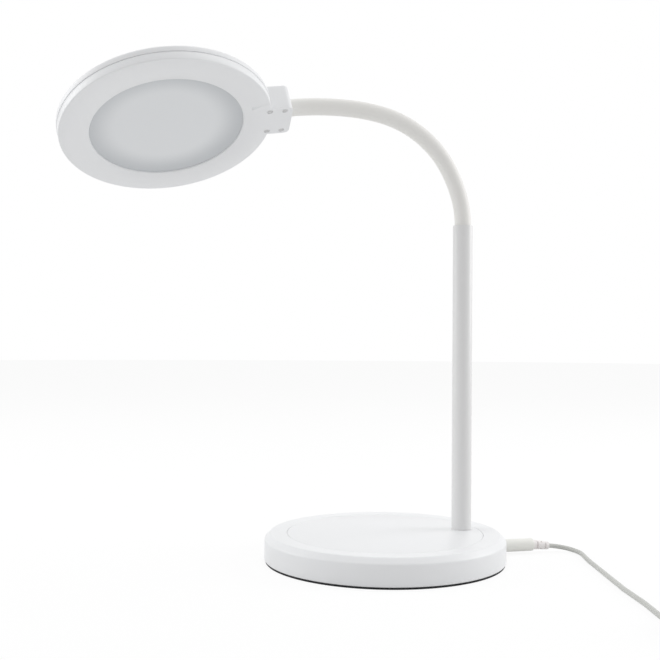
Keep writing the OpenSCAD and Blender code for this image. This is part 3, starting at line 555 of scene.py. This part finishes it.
outline = [(0, ROOF_LOW), (BASE_R - 2 * ROOF_CORNER, ROOF_LOW)]
outline += arc(BASE_R - BASE_WALL - ROOF_CORNER, ROOF_LOW - ROOF_CORNER, ROOF_CORNER, 80, 0, 5)
outline += [(BASE_R - BASE_WALL, PAD_T)]
outline += arc(BASE_R - FOOT_SOFT, PAD_T + FOOT_SOFT, FOOT_SOFT, -90, 0, 4)
outline += arc(BASE_R - SOFT, edge_z - soft_end, SOFT, 0, 45, 6)
outline += arc(edge_x - soft_end, BASE_TOP - SOFT, SOFT, 45, 90, 6)
outline += arc(PANEL_R + SEAM + LIP_SOFT, BASE_TOP - LIP_SOFT, LIP_SOFT, 90, 180, 3)
outline += [(PANEL_R + SEAM, seat_z), (0, seat_z)]
base_shell = turned(outline, 192)


def cut_post_hole(piece):
    """Cuts the hole for the post, a seam wider than it."""
    low, high = (0, POST_Y, ROOF_LOW - CUT_PAST), (0, POST_Y, BASE_TOP + CUT_PAST)
    combine(piece, rod(POST_R + SEAM, low, high, 64))


cut_post_hole(base_shell)
combine(base_shell, rod(SOCKET_R, (0, BASE_R - 8, SOCKET_Z), (0, BASE_R + CUT_PAST, SOCKET_Z), 48))
smooth(base_shell, 35)
finish_piece(base_shell, "base_housing", "base", ["base_shell"], abs_moulded)

# %% Top panel
PANEL_SOFT = 0.4
outline = [(0, seat_z), (PANEL_R, seat_z)]
outline += arc(PANEL_R - PANEL_SOFT, BASE_TOP - PANEL_SOFT, PANEL_SOFT, 0, 90, 4)
outline += [(0, BASE_TOP)]
panel = turned(outline, 192)
cut_post_hole(panel)
smooth(panel, 35)
finish_piece(panel, "base_panel", "base", ["top_panel"], abs_polished)

# %% Foot pad
PAD_R, PAD_SOFT = 89.2, 0.3
outline = [(0, 0)] + arc(PAD_R - PAD_SOFT, PAD_SOFT, PAD_SOFT, -90, 0, 3)
outline += arc(PAD_R - PAD_SOFT, PAD_T - PAD_SOFT, PAD_SOFT, 0, 90, 3) + [(0, PAD_T)]
pad = turned(outline, 160)
smooth(pad, 35)
finish_piece(pad, "foot_pad", "base", ["base_pad"], foam)

# %% [markdown]
# ## The post
#
# The post is a straight steel tube, powder coated. Its cut end is slightly rounded and shows a narrow
# rim round the neck.

# %% Post
POST_WALL, POST_LOW = 1, 10.5
OUTER_SOFT, INNER_SOFT = 0.5, 0.3
inner = POST_R - POST_WALL
outline = [(inner, POST_LOW), (POST_R, POST_LOW)]
outline += arc(POST_R - OUTER_SOFT, POST_TOP - OUTER_SOFT, OUTER_SOFT, 0, 90, 5)
outline += arc(inner + INNER_SOFT, POST_TOP - INNER_SOFT, INNER_SOFT, 90, 180, 4)
outline += [(inner, POST_LOW)]
post = turned(outline, 96)
place(post, Matrix.Translation((0, POST_Y * MM, 0)))
smooth(post, 40)
finish_piece(post, "post", "base", ["post_tube"], powder_coat)

# %% [markdown]
# ## The flexible neck
#
# On the real lamp a wound steel tube runs inside a silicone sleeve. The frame holds it as eight short
# segments with a joint at the start of each, and the sleeve has to bend over all of them. It is spun in
# eight stretches, each from the middle of one segment to the middle of the next. A sleeve made in one
# piece can only blend across one joint, so it is spun in eight stretches.
# Along the neck each segment is an arc, so spin with the arc's own centre gives its exact curve.

# %% Neck geometry, from the frame's joints
NECK_BENDS = [17, 13, 17, 16, 15, 9, 5.5, 5.2]
LINK_LENGTH = 22.7
NECK_R, SLEEVE_WALL = 6.25, 1.1
SLEEVE_IN, SLEEVE_OUT = 9, 4.2
joints = {joint["name"]: joint for joint in frame["joints"]}
joint_names = [f"neck_{'sway' if k % 2 else 'bend'}_{k + 1}" for k in range(8)] + ["head_swivel"]
joint_places = [Vector(joints[name]["pos_m"]) for name in joint_names]
link_starts = [sum(NECK_BENDS[:k]) for k in range(9)]
print("neck starts and ends at, mm:", *([round(v / MM, 1) for v in joint_places[k]] for k in (0, 8)))


def neck_frame(angle, point):
    """The frame at a point of the neck: local Z runs along the neck, and X points to the lamp's right."""
    return Matrix.Translation(point) @ Matrix.Rotation(math.radians(angle), 4, "X")


def along(k, share):
    """Place and angle at a share of segment k."""
    angle = NECK_BENDS[k] * share
    radius = LINK_LENGTH / math.radians(NECK_BENDS[k]) * MM
    bent = math.radians(angle)
    local = Vector((0, -radius * (1 - math.cos(bent)), radius * math.sin(bent)))
    return neck_frame(link_starts[k], joint_places[k]) @ local, link_starts[k] + angle


def stretch(radius, sides, before, first, second, after):
    """A tube skin from the middle of one segment to the middle of the next, with straight ends if asked."""
    begin()
    bpy.ops.mesh.primitive_circle_add(vertices=sides, radius=radius * MM)
    piece = bpy.context.object
    point, angle = along(first, 0.5) if first is not None else (joint_places[0], 0)
    place(piece, neck_frame(angle, point - Vector((0, 0, before * MM))))
    bpy.ops.object.mode_set(mode="EDIT")
    bpy.ops.mesh.select_all(action="SELECT")
    if before:
        bpy.ops.mesh.extrude_edges_move(TRANSFORM_OT_translate={"value": (0, 0, before * MM)})
    spins = [(first, 0.5)] if first is not None else []
    spins.append((second, 1 if after else 0.5))
    for k, share in spins:
        arc_radius = LINK_LENGTH / math.radians(NECK_BENDS[k]) * MM
        centre = neck_frame(link_starts[k], joint_places[k]) @ Vector((0, -arc_radius, 0))
        angle = -math.radians(NECK_BENDS[k] * share)
        bpy.ops.mesh.spin(steps=round(LINK_LENGTH * share), angle=angle, center=centre, axis=(1, 0, 0))
    if after:
        point, angle = along(second, 1)
        way = neck_frame(angle, point).to_3x3() @ Vector((0, 0, after * MM))
        bpy.ops.mesh.extrude_edges_move(TRANSFORM_OT_translate={"value": way})
    bpy.ops.mesh.select_all(action="SELECT")
    bpy.ops.mesh.remove_doubles(threshold=0.002 * MM)
    bpy.ops.mesh.normals_make_consistent(inside=False)
    bpy.ops.object.mode_set(mode="OBJECT")
    return piece


# %% Sleeve and inner lead, in eight stretches each
# The first stretch runs on straight this far into the post, and the last this far into the head.
LEAD_R, LEAD_IN, LEAD_OUT = 1, 30, 20


def neck_piece(name, k, radius, sides, wall, ends, node, material, slot):
    """One stretch of the neck over joint k. With no wall it is solid."""
    first = k - 1 if k else None
    piece = stretch(radius, sides, 0 if k else ends[0], first, k, ends[1] if k == 7 else 0)
    if wall:
        modify(piece, "SOLIDIFY", thickness=wall * MM, offset=-1)
    else:
        only(piece)
        bpy.ops.object.mode_set(mode="EDIT")
        bpy.ops.mesh.select_mode(type="EDGE")
        bpy.ops.mesh.select_all(action="DESELECT")
        bpy.ops.mesh.select_non_manifold(extend=False)
        bpy.ops.mesh.edge_face_add()
        bpy.ops.mesh.select_all(action="SELECT")
        bpy.ops.mesh.normals_make_consistent(inside=False)
        bpy.ops.object.mode_set(mode="OBJECT")
    smooth(piece, 50)
    finish_piece(piece, f"{name}_{k + 1}", None, [node], material)
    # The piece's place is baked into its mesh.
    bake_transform(piece)


sleeve_ends, lead_ends = (SLEEVE_IN, SLEEVE_OUT), (LEAD_IN, LEAD_OUT)
sleeve_finish, lead_finish = (silicone, "white_sleeve"), (inner_sheath, "lead_black")
for k in range(8):
    neck_piece("neck_sleeve", k, NECK_R, 48, SLEEVE_WALL, sleeve_ends, "neck_sleeve", *sleeve_finish)
    neck_piece("neck_inner_lead", k, LEAD_R, 12, 0, lead_ends, "neck_lead", *lead_finish)

# %% [markdown]
# ## The head
#
# The head is a flat round box in two halves. It is modelled lying flat, with the middle of the light
# window at the origin and the neck towards +Y, because that keeps every number simple. One matrix, worked
# out from the swivel joint, then brings each of its pieces to its place.

# %% Where the head is
HEAD_REACH, AXIS_H, HEAD_ROLL = 92.5, 10.7, 25
head_matrix = (
    neck_frame(link_starts[8] - 90, joint_places[8])
    @ Matrix.Rotation(math.radians(-HEAD_ROLL), 4, "Y")
    @ Matrix.Translation(Vector((0, -HEAD_REACH, -AXIS_H)) * MM)
)
print("window's middle, mm:", [round(v / MM, 1) for v in head_matrix.translation])

# %% [markdown]
# ## The front bezel
#
# The bezel is the wide flat ring round the window, with the lower half of the joint block moulded on. A
# small bevel catches the light round the window, and the ring's outer edge is softly broken. Four screws
# sit in round recesses under the block.

# %% Front bezel
HEAD_R, BEZEL_H, FACE_T, LIP_T = 75.5, 6.2, 1.8, 1.6
WINDOW_R, DIFFUSER_R, DIFFUSER_T = 54.5, 56.5, 1.5
BLOCK_END, BLOCK_W, BLOCK_H, BLOCK_CORNER = 89.8, 30, 21, 4
BLOCK_Y = BLOCK_END - 18
SCREW_X, SCREW_Y, SCREW_STEP = 11.3, BLOCK_END - 6, 10.8
screw_places = [(sx * SCREW_X, SCREW_Y - n * SCREW_STEP) for sx in (-1, 1) for n in (0, 1)]


def block_slab(low, high, inner_y):
    """A slab with the block's plan: straight towards the head, with round corners at the neck's end."""
    slab = box((-BLOCK_W / 2, inner_y, low), (BLOCK_W / 2, BLOCK_END, high))
    pick(slab, "EDGE", lambda m, way: abs(way.z) > 0.5 and m.y > BLOCK_END - 1)
    bpy.ops.mesh.bevel(offset=BLOCK_CORNER * MM, segments=8)
    bpy.ops.object.mode_set(mode="OBJECT")
    return slab


outline = [(WINDOW_R, LIP_T), (WINDOW_R, 0.9), (WINDOW_R + 0.25, 0.45), (WINDOW_R + 0.9, 0)]
outline += arc(HEAD_R - 0.9, 0.9, 0.9, -90, 0, 5)
outline += arc(HEAD_R - 0.2, BEZEL_H - 0.2, 0.2, 0, 90, 2)
outline += [(HEAD_R - 0.6, BEZEL_H), (HEAD_R - 0.6, BEZEL_H + 0.15), (HEAD_R - 2.3, BEZEL_H + 0.15)]
outline += [(HEAD_R - 2.3, BEZEL_H + 1.8), (HEAD_R - 4, BEZEL_H + 1.8), (HEAD_R - 4, FACE_T)]
outline += [(DIFFUSER_R + SEAM, FACE_T), (DIFFUSER_R + SEAM, LIP_T), (WINDOW_R, LIP_T)]
bezel = turned(outline, 192)
gap_half = BLOCK_W / 2 + SEAM
combine(bezel, box((-gap_half, BLOCK_Y - SEAM, FACE_T), (gap_half, BLOCK_END, BEZEL_H + 4)))
combine(bezel, block_slab(0, FACE_T, HEAD_R - 4), "UNION")
for x, y in screw_places:
    combine(bezel, rod(2, (x, y, -1), (x, y, 1), 32))
# A shallow moulded groove runs from the ring to the block's side and fades out at the rim.
combine(bezel, rod(2, (16.7, 59.2, -0.95), (21, 71.5, -0.95), 32, 0.9))
smooth(bezel, 35)
place(bezel, head_matrix)
finish_piece(bezel, "head_bezel", "head", ["front_bezel"], abs_moulded)

# %% [markdown]
# ## The rear shell
#
# The rear half is a shallow dome, and the upper half of the joint block grows out of it as a hump. Two
# solids are joined here: the spun shell, and a box that is rounded and sloped in edit mode. After that
# the hollow of the block and the hole for the neck are cut.

# %% Rear shell
REAR_R, REAR_TOP, DOME, REAR_EDGE = 75.9, 11.4, 2, 2
SHELL_WALL = 2.2
# The hump's back is flat for a short way and then slopes down to the shell.
HUMP_FLAT, HUMP_SLOPE, HUMP_SOFT = 5.5, 14.5, 2.4
flat_r = REAR_R - REAR_EDGE
dome_r = (flat_r ** 2 + DOME ** 2) / (2 * DOME)
dome_outside = [
    (flat_r * share, REAR_TOP + DOME - dome_r + math.sqrt(dome_r ** 2 - (flat_r * share) ** 2))
    for share in (0.9, 0.8, 0.7, 0.6, 0.5, 0.4, 0.3, 0.2, 0.1, 0)
]
outline = [(REAR_R - SHELL_WALL, BEZEL_H + SEAM)]
outline += arc(REAR_R - 0.25, BEZEL_H + SEAM + 0.25, 0.25, -90, 0, 2)
outline += arc(flat_r, REAR_TOP - REAR_EDGE, REAR_EDGE, 0, 90, 8) + dome_outside
outline += [(x * 0.98, z - SHELL_WALL) for x, z in reversed(dome_outside)]
outline += [(REAR_R - SHELL_WALL, REAR_TOP - SHELL_WALL - 0.6), (REAR_R - SHELL_WALL, BEZEL_H + SEAM)]
rear = turned(outline, 192)

hump = block_slab(FACE_T, BLOCK_H, BLOCK_Y)
pick(hump, "FACE", lambda m, normal: normal.y < -0.9)
bpy.ops.mesh.extrude_region_move(TRANSFORM_OT_translate={"value": (0, -HUMP_FLAT * MM, 0)})
bpy.ops.mesh.extrude_region_move(TRANSFORM_OT_translate={"value": (0, -HUMP_SLOPE * MM, 0)})
bpy.ops.object.mode_set(mode="OBJECT")
pick(hump, "VERT", lambda m, normal: m.z < 3 and m.y < BLOCK_Y - 1)
move(0, 0, REAR_TOP - 0.4 - FACE_T)
pick(hump, "VERT", lambda m, normal: m.z > 15 and m.y < BLOCK_Y - 10)
move(0, 0, REAR_TOP + 0.5 - BLOCK_H)
pick(hump, "EDGE", lambda m, way: m.z > BLOCK_H - 0.1 and (abs(way.x) < 0.9 * way.length or m.y > 80))
bpy.ops.mesh.bevel(offset=HUMP_SOFT * MM, segments=6)
bpy.ops.object.mode_set(mode="OBJECT")
combine(rear, hump, "UNION")
combine(rear, box((-12.6, BLOCK_Y - 4, FACE_T - 2), (12.6, BLOCK_END - 2.4, BLOCK_H - 2.4)))
combine(rear, rod(NECK_R + 0.3, (0, BLOCK_END - 6, AXIS_H), (0, BLOCK_END + 3, AXIS_H), 64))
smooth(rear, 32)
place(rear, head_matrix)
finish_piece(rear, "head_rear", "head", ["rear_shell"], abs_moulded)

# %% [markdown]
# ## The diffuser
#
# The diffuser is a round plate that sits behind the window's lip. It is a turned disc with its own UV map,
# laid flat over it, for the shading of its finish.

# %% Diffuser
outline = [(0, LIP_T), (DIFFUSER_R, LIP_T), (DIFFUSER_R, LIP_T + DIFFUSER_T), (0, LIP_T + DIFFUSER_T)]
plate = turned(outline, 128)
uv_layer = plate.data.uv_layers.new(name="plate")
for loop in plate.data.loops:
    point = plate.data.vertices[loop.vertex_index].co / MM
    uv_layer.data[loop.index].uv = (0.5 + point.x / (2 * DIFFUSER_R), 0.5 + point.y / (2 * DIFFUSER_R))
smooth(plate, 30)
place(plate, head_matrix)
finish_piece(plate, "diffuser_plate", "head", ["diffuser"], opal)

# %% [markdown]
# ## The block's screws
#
# Four small screws hold the two halves of the block. Each has a low round head with a cross recess. One is
# modelled and the others are copies with their own mesh.

# %% Block screws
SHANK_R, SHANK_END, SCREW_HEAD_R, HEAD_SOFT = 0.9, 6.4, 1.75, 0.5
CROSS_LONG, CROSS_NARROW, CROSS_TURN = 1.1, 0.18, 0.4
outline = [(0, SHANK_END + 0.2), (SHANK_R, SHANK_END), (SHANK_R, 1), (SCREW_HEAD_R, 1), (SCREW_HEAD_R, 0.5)]
outline += arc(SCREW_HEAD_R - HEAD_SOFT, 0.6, HEAD_SOFT, 0, -90, 4) + [(0, 0.1)]
first_screw = turned(outline, 32)
for x, y in ((CROSS_LONG, CROSS_NARROW), (CROSS_NARROW, CROSS_LONG)):
    combine(first_screw, box((-x, -y, -0.5), (x, y, 0.65)))
smooth(first_screw, 35)
screws = [first_screw]
for _ in range(3):
    only(first_screw)
    bpy.ops.object.duplicate()
    screws.append(bpy.context.object)

for number, (screw, (x, y)) in enumerate(zip(screws, screw_places)):
    tightened = Matrix.Rotation(CROSS_TURN + number, 4, "Z")
    place(screw, head_matrix @ Matrix.Translation(Vector((x, y, 0)) * MM) @ tightened)
    finish_piece(screw, f"block_screw_{number + 1}", "head", ["block_screws"], powder_coat)

# %% [markdown]
# ## The supply plug
#
# A round low-voltage plug goes into the back of the base. Its grip is a plain grey moulding, and a short
# white strain relief follows, cut by slots on alternate sides so that it bends with the lead. The relief
# droops a little, so it starts inside the grip: otherwise a wedge would gape between the two.

# %% Supply plug
PLUG_Y, PLUG_R, PLUG_LENGTH = 90.2, 4.8, 29.5
RELIEF_LENGTH, RELIEF_R, RELIEF_END_R, RELIEF_DROOP = 13.5, 3.7, 3, 6
RELIEF_HIDDEN, RELIEF_SOFT = 0.5, 0.6
SLOT_START, SLOT_STEP, SLOT_WIDTH = 2.6, 3.4, 1.4
to_rear = Matrix.Rotation(math.radians(-90), 4, "X")

outline = [(0, 0)] + arc(PLUG_R - 0.5, 0.5, 0.5, -90, 0, 4)
outline += arc(PLUG_R - 0.8, PLUG_LENGTH - 0.8, 0.8, 0, 90, 5) + [(0, PLUG_LENGTH)]
grip = turned(outline, 64)
place(grip, Matrix.Translation(Vector((0, PLUG_Y, SOCKET_Z)) * MM) @ to_rear)
smooth(grip, 35)
finish_piece(grip, "plug_handle", "base", ["plug_grip"], pvc_grey)

outline = [(0, -RELIEF_HIDDEN), (RELIEF_R, -RELIEF_HIDDEN)]
outline += arc(RELIEF_END_R - RELIEF_SOFT, RELIEF_LENGTH - RELIEF_SOFT, RELIEF_SOFT, 5, 90, 5)
outline += [(0, RELIEF_LENGTH)]
relief = turned(outline, 48)
for n in range(3):
    z = SLOT_START + SLOT_STEP * n
    for side in (0, 180):
        slot = box((2, -3, z), (6, 3, z + SLOT_WIDTH))
        place(slot, Matrix.Rotation(math.radians(side + 90 * (n % 2)), 4, "Z"))
        combine(relief, slot)
smooth(relief, 35)
place(
    relief,
    Matrix.Translation(Vector((0, PLUG_Y + PLUG_LENGTH, SOCKET_Z)) * MM)
    @ Matrix.Rotation(math.radians(-90 - RELIEF_DROOP), 4, "X"),
)
finish_piece(relief, "plug_sleeve", "base", ["plug_relief"], pvc_white)

# %% [markdown]
# ## The USB plug and the tie
#
# The far end of the lead is a moulded USB plug beside the coil. Its grip has rounded edges and four
# grooves on each side for the fingers, and its nickel-plated shell has the two latch windows and a tongue
# inside. A flat strap ties the coil.

# %% USB plug
USB_T, USB_W, USB_LENGTH, USB_RELIEF, USB_SHELL = 8, 15, 22, 9, 15
GROOVE_STEP, GROOVE_W, GROOVE_DEPTH = 2.4, 1, 0.4
grip_end = USB_PLACE.x - USB_RELIEF
shell_end = grip_end - USB_LENGTH
usb_y = USB_PLACE.y
usb_grip = box((shell_end, usb_y - USB_W / 2, 0), (grip_end, usb_y + USB_W / 2, USB_T), 1.4, 4)
for n in range(4):
    for side in (-1, 1):
        x = shell_end + 7 + GROOVE_STEP * n
        low, high = sorted((usb_y + side * (USB_W / 2 - GROOVE_DEPTH), usb_y + side * (USB_W / 2 + 1)))
        combine(usb_grip, box((x, low, 1.8), (x + GROOVE_W, high, USB_T - 1.8)))
smooth(usb_grip, 35)
finish_piece(usb_grip, "usb_plug_grip", "base", ["usb_grip"], pvc_grey)

# %% USB plug's strain relief
outline = [(0, 0), (3.2, 0), (3.2, 1)] + arc(2.25, USB_RELIEF - 0.3, 0.3, 20, 90, 4) + [(0, USB_RELIEF)]
usb_relief = turned(outline, 48)
for z in (2.6, 5.2):
    combine(usb_relief, box((-4, -4, z), (-1.9, 4, z + 1)))
    combine(usb_relief, box((1.9, -4, z), (4, 4, z + 1)))
to_right = Matrix.Rotation(math.radians(90), 4, "Y")
place(usb_relief, Matrix.Translation(Vector((grip_end, usb_y, USB_T / 2)) * MM) @ to_right)
smooth(usb_relief, 35)
finish_piece(usb_relief, "usb_plug_relief", "base", ["usb_relief"], pvc_grey)

# %% USB plug's metal shell
SHELL_W, SHELL_T, SHEET_T = 12, 4.5, 0.4
TONGUE_W, TONGUE_LOW, TONGUE_HIGH = 11, 2.2, 4
LATCH_W, LATCH_START, LATCH_END, LATCH_Y = 2.2, 5, 7.5, 2.6
shell_x = shell_end - USB_SHELL
shell_low = USB_T / 2 - SHELL_T / 2
outside, inside = SHELL_W / 2, SHELL_W / 2 - SHEET_T
usb_shell = box(
    (shell_x, usb_y - outside, shell_low), (shell_end, usb_y + outside, shell_low + SHELL_T), 0.3, 2
)
hollow = box(
    (shell_x - 1, usb_y - inside, shell_low + SHEET_T),
    (shell_end - 1, usb_y + inside, shell_low + SHELL_T - SHEET_T),
)
combine(usb_shell, hollow)
for y in (usb_y - LATCH_Y, usb_y + LATCH_Y):
    latch = box(
        (shell_x + LATCH_START, y - LATCH_W / 2, -1), (shell_x + LATCH_END, y + LATCH_W / 2, USB_T + 4)
    )
    combine(usb_shell, latch)
tongue = box(
    (shell_x + 1, usb_y - TONGUE_W / 2, shell_low + TONGUE_LOW),
    (shell_end, usb_y + TONGUE_W / 2, shell_low + TONGUE_HIGH),
)
combine(usb_shell, tongue, "UNION")
smooth(usb_shell, 30)
finish_piece(usb_shell, "usb_plug_shell", "base", ["usb_shell"], nickel)

# %% Tie round the coil
TIE_W, TIE_T = 6, 0.8
tie_in = COIL_MIDDLE[0] - (COIL_OUTER - COIL_PITCH * COIL_TURNS - CORD_D / 2 - SEAM)
tie_out = COIL_MIDDLE[0] - (COIL_OUTER + CORD_D / 2 + SEAM)
tie_high = COIL_HIGH + CORD_D / 2 + SEAM
tie_y = COIL_MIDDLE[1]
tie = box((tie_out - TIE_T, tie_y - TIE_W / 2, 0), (tie_in + TIE_T, tie_y + TIE_W / 2, tie_high + TIE_T))
hole = box((tie_out, tie_y - TIE_W, TIE_T), (tie_in, tie_y + TIE_W, tie_high))
for strap, radius in ((tie, 2.4), (hole, 2.4 - TIE_T)):
    pick(strap, "EDGE", lambda m, way: abs(way.y) > 1)
    bpy.ops.mesh.bevel(offset=radius * MM, segments=6)
    bpy.ops.object.mode_set(mode="OBJECT")
combine(tie, hole)
smooth(tie, 35)
finish_piece(tie, "coil_tie", "base", ["cord_tie"], black_abs)

# %% [markdown]
# ## Finishes of the inner pieces
#
# The pieces inside the base, the neck and the head keep their CAD shape. They get the finish of what they
# are made of, since they show when the lamp is taken apart.

# %% Inner pieces
neck_links = [f"neck_link_{k}" for k in range(1, 9)]
inner_finishes = {
    black_abs: ["bottom_cover", "dc_jack"],
    zinc: ["cover_screws", "ballast_screws", "flange_screws", "board_screws"],
    bare_steel: ["ballast_disc", "post_flange", "neck_ferrule", "swivel_spindle"] + neck_links,
    nickel: ["jack_pin", "plug_barrel"],
    copper: ["touch_foil", "friction_washer"],
    green_mask: ["touch_board"],
    chip_epoxy: ["board_chips"],
    inner_sheath: ["jack_lead", "post_lead", "head_lead"],
    abs_polished: ["reflector"],
    white_mask: ["led_board"],
    phosphor: ["leds"],
    aluminium: ["heat_plate"],
    acetal: ["swivel_bush"],
}
for material, names in inner_finishes.items():
    for name in names:
        mesh = frame["nodes"][name].data
        mesh.materials.clear()
        mesh.materials.append(material)
print("inner pieces with a finish:", sum(len(names) for names in inner_finishes.values()))

# %% [markdown]
# ## Floor and light
#
# The lamp stands on a white table in even light. The floor's own colour is a pale grey, which throws a
# little less light up at the underside of the head than the top gets from above. Seen directly, or
# mirrored in a glossy face, floor and surround are mostly plain white, so the background is white while a
# soft shadow stays under the lamp. One large lamp overhead and two at the sides model the round shapes.

# %% What is seen directly
def seen_directly(tree):
    """1 for rays from the camera and for mirror rays, 0 for the rays that light the object."""
    path = add(tree, "ShaderNodeLightPath")
    ray = path.outputs["Is Camera Ray"]
    for name in ("Is Glossy Ray", "Is Transmission Ray"):
        either = add(tree, "ShaderNodeMath", {0: ray, 1: path.outputs[name]}, operation="MAXIMUM")
        ray = either.outputs["Value"]
    return ray


# %% Floor
WHITE_SHARE = 0.85
FLOOR_R = 6
begin()
bpy.ops.mesh.primitive_circle_add(vertices=64, radius=FLOOR_R, fill_type="NGON", location=(0, 0, 0))
floor = bpy.context.object
floor.name = "floor"
floor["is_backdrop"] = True
material, tree, output = new_material("paper_white_matt")
share = add(tree, "ShaderNodeMath", {0: seen_directly(tree)}, operation="MULTIPLY")
share.inputs[1].default_value = WHITE_SHARE
paper = add(tree, "ShaderNodeBsdfDiffuse", Color=linear("#E4E4E4"))
plain = add(tree, "ShaderNodeEmission", Color=linear("#FFFFFF"), Strength=1.04)
links = {0: share.outputs["Value"], 1: paper.outputs["BSDF"], 2: plain.outputs["Emission"]}
both = add(tree, "ShaderNodeMixShader", links)
tree.links.new(both.outputs["Shader"], output.inputs["Surface"])
floor.data.materials.append(material)
print("floor: a disc of %.0f m radius" % FLOOR_R)


# %% Lamps and surround
LAMP_MIDDLE = Vector((0, 0, 0.15))


def soft_lamp(name, place_m, size_m, watts):
    """A square soft box that faces the lamp's middle."""
    begin()
    bpy.ops.object.light_add(type="AREA", location=place_m)
    lamp = bpy.context.object
    lamp.name = name
    lamp.data.shape = "SQUARE"
    lamp.data.size = size_m
    lamp.data.energy = watts
    aim = LAMP_MIDDLE - Vector(place_m)
    lamp.rotation_euler = aim.to_track_quat("-Z", "Y").to_euler()
    print("%s: %.1f W" % (name, watts))


soft_lamp("top_box", (-0.3, 0, 1.6), 1.4, 5)
soft_lamp("left_box", (-0.55, -1.5, 0.7), 1.0, 7.5)
soft_lamp("right_box", (0.1, 1.5, 0.7), 1.0, 9.5)

world = bpy.data.worlds.new("studio")
bpy.context.scene.world = world
world.use_nodes = True
tree = world.node_tree
tree.nodes.clear()
dim = add(tree, "ShaderNodeBackground", Color=linear("#FFFFFF"), Strength=0.65)
bright = add(tree, "ShaderNodeBackground", Color=linear("#FFFFFF"), Strength=1.0)
links = {0: seen_directly(tree), 1: dim.outputs["Background"], 2: bright.outputs["Background"]}
seen = add(tree, "ShaderNodeMixShader", links)
output = tree.nodes.new("ShaderNodeOutputWorld")
tree.links.new(seen.outputs["Shader"], output.inputs["Surface"])
bpy.context.scene.view_settings.view_transform = "Standard"

# %% [markdown]
# ## Sizes
#
# The dressed lamp has to fill the same box as its frame. Its box is worked out here.

# %% Box of the dressed lamp
low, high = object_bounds()
